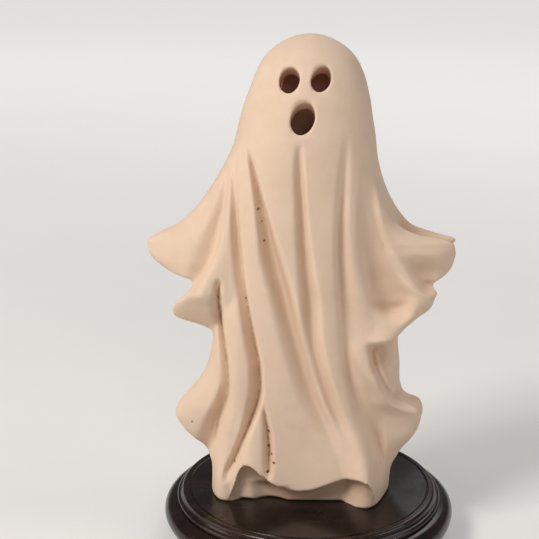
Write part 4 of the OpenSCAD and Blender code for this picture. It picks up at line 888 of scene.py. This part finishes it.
def brass_finish(colours):
    """Dull brass with dark stains and a fine unevenness."""
    f = Finish("dull_brass")
    darkening = f.ramp(f.noise(scale=420, detail=5, roughness=0.6), 0.40, 0.68)
    base = f.tint(colours.brass, colours.brass_stain, darkening, 0.7)
    rough = f.plus(0.28, f.times(darkening, 0.35))
    normal = f.bump(f.noise(scale=1500), distance=0.00004, strength=0.6)
    f.set(Base_Color=base, Roughness=rough, Normal=normal, Metallic=1.0)
    return f.material


def incense_finish(colours):
    """Pressed incense powder: coarse brown grains, pale ash towards the lit tip."""
    f = Finish("pressed_incense")
    grains = f.noise(scale=2200, detail=5, roughness=0.7)
    ragged = f.plus(f.attribute("burnt"), f.times(f.noise(scale=600, detail=4), 0.3))
    base = f.tint(colours.incense, colours.incense_light, f.ramp(grains, 0.38, 0.66))
    base = f.tint(base, colours.ash, f.ramp(ragged, 0.9, 1.05))
    f.set(Base_Color=base, Roughness=0.92, Normal=f.bump(grains, distance=0.0003, strength=0.8))
    return f.material


# Sizes and colours that a user changes

def length(name, description, value):
    """A length in metres with its name, description and default."""
    return bpy.props.FloatProperty(name=name, description=description, default=value, unit="LENGTH")


def tilt(name, description, value):
    """An angle in radians with its name, description and default."""
    return bpy.props.FloatProperty(name=name, description=description, default=value, subtype="ANGLE")


def count(name, description, value, least):
    """A count with its name, description, default and lowest value."""
    return bpy.props.IntProperty(name=name, description=description, default=value, min=least)


def light(name, description, value):
    """A lamp's power in watts, or the world's strength."""
    return bpy.props.FloatProperty(name=name, description=description, default=value, min=0)


def colour(name, description, value):
    """A colour with its name, description and default."""
    return bpy.props.FloatVectorProperty(
        name=name, description=description, subtype="COLOR", size=3, min=0, max=1, default=value)


class GHOST_PG_shell(bpy.types.PropertyGroup):
    """Sizes of the ghost."""
    height: length("Height", "Height of the ghost above the stand", 0.180)
    arm_span: length("Arm span", "Width across the two raised arms", 0.120)
    body_depth: length("Body depth", "Depth of the body from front to back", 0.048)
    fold_depth: length("Fold depth", "Depth of the deepest fold", 0.006)
    hem_roll: length("Hem roll", "How far the rolled hem stands out over the foot", 0.006)
    head_wall: length("Head wall", "Wall of the head", 0.007)
    skirt_wall: length("Skirt wall", "Wall of the skirt outside its folds", 0.0084)
    foot_wall: length("Foot wall", "Wall at the foot", 0.0056)
    hole_rim: length("Hole rim", "Radius of the soft rim round each face hole", 0.0005)
    foot_edge: length("Foot edge", "Radius of the edge that the ghost stands on", 0.0009)
    shift_x: length("Shift to the right", "Place of the ghost on the stand", -0.002)
    shift_y: length("Shift back", "Place of the ghost on the stand", 0.002)
    row_steps: count("Row steps", "Rows of points in each row of the tables", 3, 1)
    column_steps: count("Column steps", "Columns of points in each column of the tables", 5, 1)


class GHOST_PG_face(bpy.types.PropertyGroup):
    """Sizes of the three holes of the face."""
    eye_width: length("Eye width", "Width of an eye", 0.0074)
    eye_height: length("Eye height", "Height of an eye", 0.0091)
    eye_pitch: length("Eye pitch", "Distance between the middles of the eyes", 0.0114)
    eye_drop: length("Eye drop", "Eyes below the top of the head", 0.0146)
    eye_rise: length("Eye rise", "How much higher the right eye sits", 0.0006)
    shift: length("Face shift", "Middle of the face to the right of the axis", -0.0004)
    mouth_width: length("Mouth width", "Width of the mouth", 0.0089)
    mouth_height: length("Mouth height", "Height of the mouth", 0.0119)
    mouth_drop: length("Mouth drop", "Mouth below the eyes", 0.0134)
    mouth_shift: length("Mouth shift", "Mouth to the right of the face's middle", -0.0008)
    hole_fall: length("Hole fall", "How much lower the holes come out inside", 0.0036)
    hole_toe_in: length("Hole toe-in", "How much closer to the middle the eyes come out inside", 0.0004)
    hole_lean: tilt("Hole lean", "How far the holes lean to the right", math.radians(8))
    tunnel_steps: count("Tunnel steps", "Rings of points through the wall of a hole", 6, 2)


class GHOST_PG_stand(bpy.types.PropertyGroup):
    """Sizes of the stand, its felt, the dish and the cone."""
    width: length("Width", "Diameter at the widest ring", 0.116)
    plateau: length("Raised top", "Diameter of the raised top", 0.102)
    height: length("Height", "Height of the turned stand", 0.020)
    foot: length("Foot", "Diameter of the foot", 0.108)
    recess: length("Recess", "Depth of the recess for the dish", 0.0024)
    felt: length("Felt", "Diameter of the felt", 0.096)
    felt_thickness: length("Felt thickness", "Thickness of the felt", 0.0012)
    dish: length("Dish", "Diameter of the dish", 0.017)
    dish_height: length("Dish height", "Height of the dish", 0.005)
    dish_floor: length("Dish floor", "Floor of the dish", 0.0012)
    dish_wall: length("Dish wall", "Wall of the dish", 0.0014)
    dish_gap: length("Dish gap", "Gap round the dish in its recess", 0.0003)
    cone: length("Cone", "Diameter of the incense cone", 0.009)
    cone_height: length("Cone height", "Height of the incense cone", 0.025)
    segments: count("Segments", "Steps round the stand, twice those round the dish and cone", 256, 12)


class GHOST_PG_colours(bpy.types.PropertyGroup):
    """Colours of the finishes."""
    bisque: colour("Bisque", "Ivory of the ceramic", (0.845, 0.64, 0.485))
    bisque_shade: colour("Bisque shade", "Darker mottling of the ceramic", (0.74, 0.535, 0.385))
    # Painted shade, partly dirt: the brown tint in the folds and under the edges
    darkening: colour("Stain", "Brown deep in the folds and under the edges", (0.56, 0.36, 0.235))
    # Painted shade, partly dirt: the lines along the bottoms of the creases
    seam: colour("Seam", "Brown along the bottoms of the creases", (0.30, 0.17, 0.09))
    speck: colour("Pinhole", "Dark brown of the pinholes", (0.13, 0.07, 0.04))
    lining: colour("Lining", "Bare clay inside", (0.98, 0.60, 0.43))
    # Painted shade: darker brown for the walls of the face holes
    hole: colour("Hole", "Browner clay inside the face holes", (0.66, 0.42, 0.30))
    lacquer: colour("Lacquer", "Black-brown lacquer", (0.010, 0.0050, 0.0045))
    lacquer_grain: colour("Lacquer grain", "Wood that shows through", (0.022, 0.012, 0.009))
    lacquer_worn: colour("Rubbed lacquer", "Brown of rubbed edges", (0.060, 0.028, 0.016))
    felt: colour("Felt", "Dark felt", (0.012, 0.020, 0.015))
    felt_light: colour("Felt fibres", "Lighter fibres", (0.035, 0.050, 0.040))
    brass: colour("Brass", "Brass of the dish", (0.72, 0.50, 0.22))
    brass_stain: colour("Brass stain", "Dark stain on the dish", (0.16, 0.10, 0.05))
    incense: colour("Incense", "Pressed powder", (0.10, 0.055, 0.032))
    incense_light: colour("Incense grains", "Lighter grains", (0.20, 0.12, 0.07))
    ash: colour("Ash", "Ash at the tip", (0.42, 0.40, 0.38))
    floor: colour("Floor", "Pale floor", (0.78, 0.77, 0.75))


class GHOST_PG_stage(bpy.types.PropertyGroup):
    """Camera and lamps."""
    camera_place: bpy.props.FloatVectorProperty(
        name="Camera", description="Place of the camera", subtype="XYZ", unit="LENGTH",
        default=(-0.002, -0.498, 0.25824))
    camera_pitch: tilt("Pitch", "How far the camera looks down", 0.28746)
    camera_yaw: tilt("Yaw", "How far the camera looks to the left", 0.02752)
    lens: bpy.props.FloatProperty(name="Lens", description="Focal length in millimetres", default=89.77)
    key: light("Key lamp", "Power of the high lamp in front on the left", 11.0)
    side: light("Side lamp", "Power of the low lamp on the left", 2.0)
    front: light("Front lamp", "Power of the lamp above and behind the camera", 1.3)
    fill: light("Fill lamps", "Power of the lamps on the right and behind", 2.8)
    world: light("World", "Strength of the light all round", 0.11)


GROUPS = {
    "ghost_shell": GHOST_PG_shell, "ghost_face": GHOST_PG_face, "ghost_stand": GHOST_PG_stand,
    "ghost_colours": GHOST_PG_colours, "ghost_stage": GHOST_PG_stage,
}


class GHOST_OT_shell(bpy.types.Operator):
    """Build the draped ceramic shell with its face holes and its hollow"""
    bl_idname = "ghost.shell"
    bl_label = "Ghost shell"

    def execute(self, context):
        scene = context.scene
        g, s = scene.ghost_shell, scene.ghost_stand
        form = GhostForm(g, scene.ghost_face)
        points, faces, fans, darkening, lining = ghost_mesh(
            form, g.row_steps, g.column_steps, scene.ghost_face.tunnel_steps)
        base_z = s.felt_thickness + s.height
        finish = bisque_finish(scene.ghost_colours, form, base_z)
        new_piece("ghost_cover", points + [g.shift_x, g.shift_y, base_z], faces, fans, "shell", "ghost_shell",
                  finish, {"darkening": darkening, "lining": lining}, crease=80)
        return {"FINISHED"}


class GHOST_OT_stand(bpy.types.Operator):
    """Build the turned stand and the felt under it"""
    bl_idname = "ghost.stand"
    bl_label = "Stand and felt"

    def execute(self, context):
        scene = context.scene
        s, c = scene.ghost_stand, scene.ghost_colours
        profile = stand_profile(s)
        points, faces, fans = lathe(profile, s.segments)
        worn = np.append(np.repeat(convexity(profile)[1:-1], s.segments), [0, 0])
        new_piece("turned_stand", points, faces, fans, "stand", "display_stand",
                  lacquer_finish(c), {"worn": worn}, crease=50)
        edge = s.felt_thickness * 0.4
        felt = np.concatenate([
            line((0, 0), (s.felt / 2 - edge, 0), step=0.004),
            arc(s.felt / 2 - edge, edge, edge, -90, 0, 4),
            arc(s.felt / 2 - edge, s.felt_thickness - edge, edge, 0, 90, 4),
            [[s.felt / 4, s.felt_thickness], [0, s.felt_thickness]]])
        points, faces, fans = lathe(felt, s.segments)
        new_piece("felt_pad", points, faces, fans, "stand", "base_felt", felt_finish(c))
        return {"FINISHED"}


class GHOST_OT_incense(bpy.types.Operator):
    """Build the dish and the incense cone inside the ghost"""
    bl_idname = "ghost.incense"
    bl_label = "Dish and incense cone"

    def execute(self, context):
        scene = context.scene
        s, c = scene.ghost_stand, scene.ghost_colours
        z = s.felt_thickness + s.height - s.recess
        r, lip, well = s.dish / 2, s.dish_wall / 2, s.dish_floor
        inside = r - s.dish_wall
        dish = np.concatenate([
            line((0, z), (r - lip, z), step=0.001),
            arc(r - lip, z + lip, lip, -90, 0, 5),
            arc(r - lip, z + s.dish_height - lip, lip, 0, 180, 12),
            arc(inside - well, z + s.dish_floor + well, well, 0, -90, 6),
            [[inside / 3, z + s.dish_floor], [0, z + s.dish_floor]]])
        points, faces, fans = lathe(dish, s.segments // 2)
        new_piece("brass_dish", points, faces, fans, "dish", "cone_dish", brass_finish(c))
        z = z + s.dish_floor
        base, tip, skirt = s.cone / 2, s.cone / 14, s.cone_height / 25
        shoulder = 0.985 * base
        cone = np.concatenate([
            line((0, z), (base - skirt / 2, z), step=0.0008),
            arc(base - skirt / 2, z + skirt / 2, skirt / 2, -90, 10, 4),
            line((shoulder, z + skirt), (tip, z + s.cone_height - tip), step=0.0006),
            arc(0, z + s.cone_height - tip, tip, 12, 90, 5)])
        points, faces, fans = lathe(cone, s.segments // 2)
        burnt = (points[:, 2] - z) / s.cone_height
        new_piece("incense_cone_piece", points, faces, fans, "cone", "incense_cone",
                  incense_finish(c), {"burnt": burnt})
        return {"FINISHED"}


def stand_profile(s):
    """The stand's section as a path of radius and height: up the foot, round the neck, the ring, the bead and
    the rim, across the top with its groove, and down into the recess. A straight run starts a small gap past
    the end of an arc."""
    low, top = s.felt_thickness, s.felt_thickness + s.height
    foot, rim, widest = s.foot / 2, s.plateau / 2, s.width / 2
    foot_r, neck_r, ring_r, bead_r, rim_r = 0.0022, 0.0012, 0.0048, 0.0013, 0.0014
    foot_h, ring_fall, rim_fall, neck_fall = 0.0036, 0.0094, 0.0023, 0.0146
    neck, groove, recess = widest - 0.0065, rim - 0.003, s.dish / 2 + s.dish_gap
    groove_r, edge_r, gap = 0.0005, 0.0004, 0.0003
    return np.concatenate([
        line((0, low), (foot - foot_r, low), step=0.004),
        arc(foot - foot_r, low + foot_h - foot_r, foot_r, -50, 90, 14),
        line((foot - foot_r - gap, low + foot_h), (neck, low + foot_h), step=0.0008),
        arc(neck + neck_r, top - neck_fall, neck_r, 200, 120, 6),
        arc(widest - ring_r, top - ring_fall, ring_r, -55, 80, 30),
        arc(rim + bead_r / 2, top - rim_fall - bead_r, bead_r, -40, 90, 16),
        arc(rim - rim_r, top - rim_r, rim_r, 0, 90, 12),
        line((rim - rim_r - gap, top), (groove + groove_r, top), step=0.0006),
        arc(groove, top, groove_r, 0, -180, 8),
        line((groove - groove_r - edge_r / 2, top), (recess + 1.5 * edge_r, top), step=0.003),
        arc(recess + edge_r, top - edge_r, edge_r, 90, 180, 4),
        line((recess, top - 2 * edge_r), (recess, top - s.recess), (recess / 2, top - s.recess), step=0.001),
        [[0, top - s.recess]]])


class GHOST_OT_stage(bpy.types.Operator):
    """Add the pale floor, the soft lamps and the camera"""
    bl_idname = "ghost.stage"
    bl_label = "Stage"

    def execute(self, context):
        scene = context.scene
        t = scene.ghost_stage
        mesh = bpy.data.meshes.new("floor")
        half = 6.0
        mesh.from_pydata([(-half, -half, 0), (half, -half, 0), (half, half, 0), (-half, half, 0)], [],
                         [(0, 1, 2, 3)])
        floor = bpy.data.objects.new("floor", mesh)
        scene.collection.objects.link(floor)
        f = Finish("pale_floor")
        pale = scene.ghost_colours.floor
        darker = [0.97 * v for v in pale]
        base = f.tint(pale, darker, f.ramp(f.noise(scale=9, detail=4, roughness=0.6), 0.3, 0.7))
        away = f.add("ShaderNodeVectorMath", {0: f.place}, operation="LENGTH").outputs["Value"]
        path = f.add("ShaderNodeLightPath").outputs
        seen = f.larger(f.larger(path["Is Camera Ray"], path["Is Glossy Ray"]), path["Is Transmission Ray"])
        near, far, near_glow, more_glow = 0.15, 1.6, 0.18, 0.46
        glow = f.plus(near_glow, f.times(f.ramp(away, near, far), more_glow))
        f.set(Base_Color=base, Roughness=0.8, Emission_Color=(1, 0.99, 0.97, 1))
        f.set(Emission_Strength=f.times(seen, glow))
        mesh.materials.append(f.material)

        aim = np.array([0, 0, 0.10])
        for name, place, size, power_w, tint in (
                ("key_lamp", (-0.72, -0.66, 1.02), 0.40, t.key, (1.0, 0.98, 0.95)),
                ("side_lamp", (-1.10, -0.15, 0.35), 0.40, t.side, (1.0, 0.88, 0.76)),
                ("front_lamp", (0.15, -1.00, 0.62), 0.35, t.front, (1.0, 0.98, 0.96)),
                ("fill_lamp", (1.05, -0.20, 0.70), 0.6, t.fill, (1.0, 0.98, 0.97)),
                ("back_lamp", (0.25, 0.9, 0.9), 0.6, t.fill, (1.0, 1.0, 1.0))):
            lamp = bpy.data.lights.new(name, "AREA")
            lamp.energy, lamp.size, lamp.color = power_w, size, tint
            holder = bpy.data.objects.new(name, lamp)
            scene.collection.objects.link(holder)
            holder.location = place
            way = aim - np.array(place)
            flat = math.hypot(way[0], way[1])
            holder.rotation_euler = (math.atan2(flat, -way[2]), 0, math.atan2(-way[0], way[1]))

        world = bpy.data.worlds.new("pale_room")
        world.use_nodes = True
        back = world.node_tree.nodes["Background"]
        back.inputs["Color"].default_value = (1, 1, 1, 1)
        back.inputs["Strength"].default_value = t.world
        scene.world = world

        data = bpy.data.cameras.new("camera")
        data.lens, data.sensor_width = t.lens, 36
        camera = bpy.data.objects.new("camera", data)
        scene.collection.objects.link(camera)
        camera.location = t.camera_place
        camera.rotation_euler = (math.pi / 2 - t.camera_pitch, 0, t.camera_yaw)
        scene.camera = camera
        scene.view_settings.view_transform = "Standard"
        return {"FINISHED"}


class GHOST_PT_panel(bpy.types.Panel):
    """Lists the pieces and their sizes"""
    bl_idname = "GHOST_PT_panel"
    bl_label = "Ghost incense burner"
    bl_space_type = "VIEW_3D"
    bl_region_type = "UI"
    bl_category = "Ghost"

    def draw(self, context):
        layout = self.layout
        for operator in OPERATORS:
            layout.operator(operator.bl_idname)
        for key, group in GROUPS.items():
            box = layout.box()
            settings = getattr(context.scene, key)
            for name in group.__annotations__:
                box.prop(settings, name)


OPERATORS = (GHOST_OT_shell, GHOST_OT_stand, GHOST_OT_incense, GHOST_OT_stage)


def register():
    for group in GROUPS.values():
        bpy.utils.register_class(group)
    for key, group in GROUPS.items():
        setattr(bpy.types.Scene, key, bpy.props.PointerProperty(type=group))
    for item in (*OPERATORS, GHOST_PT_panel):
        bpy.utils.register_class(item)


def unregister():
    for item in (GHOST_PT_panel, *reversed(OPERATORS)):
        bpy.utils.unregister_class(item)
    for key in GROUPS:
        delattr(bpy.types.Scene, key)
    for group in reversed(list(GROUPS.values())):
        bpy.utils.unregister_class(group)


def main():
    register()
    bpy.ops.ghost.shell()
    bpy.ops.ghost.stand()
    bpy.ops.ghost.incense()
    bpy.ops.ghost.stage()


if __name__ == "__main__":
    main()
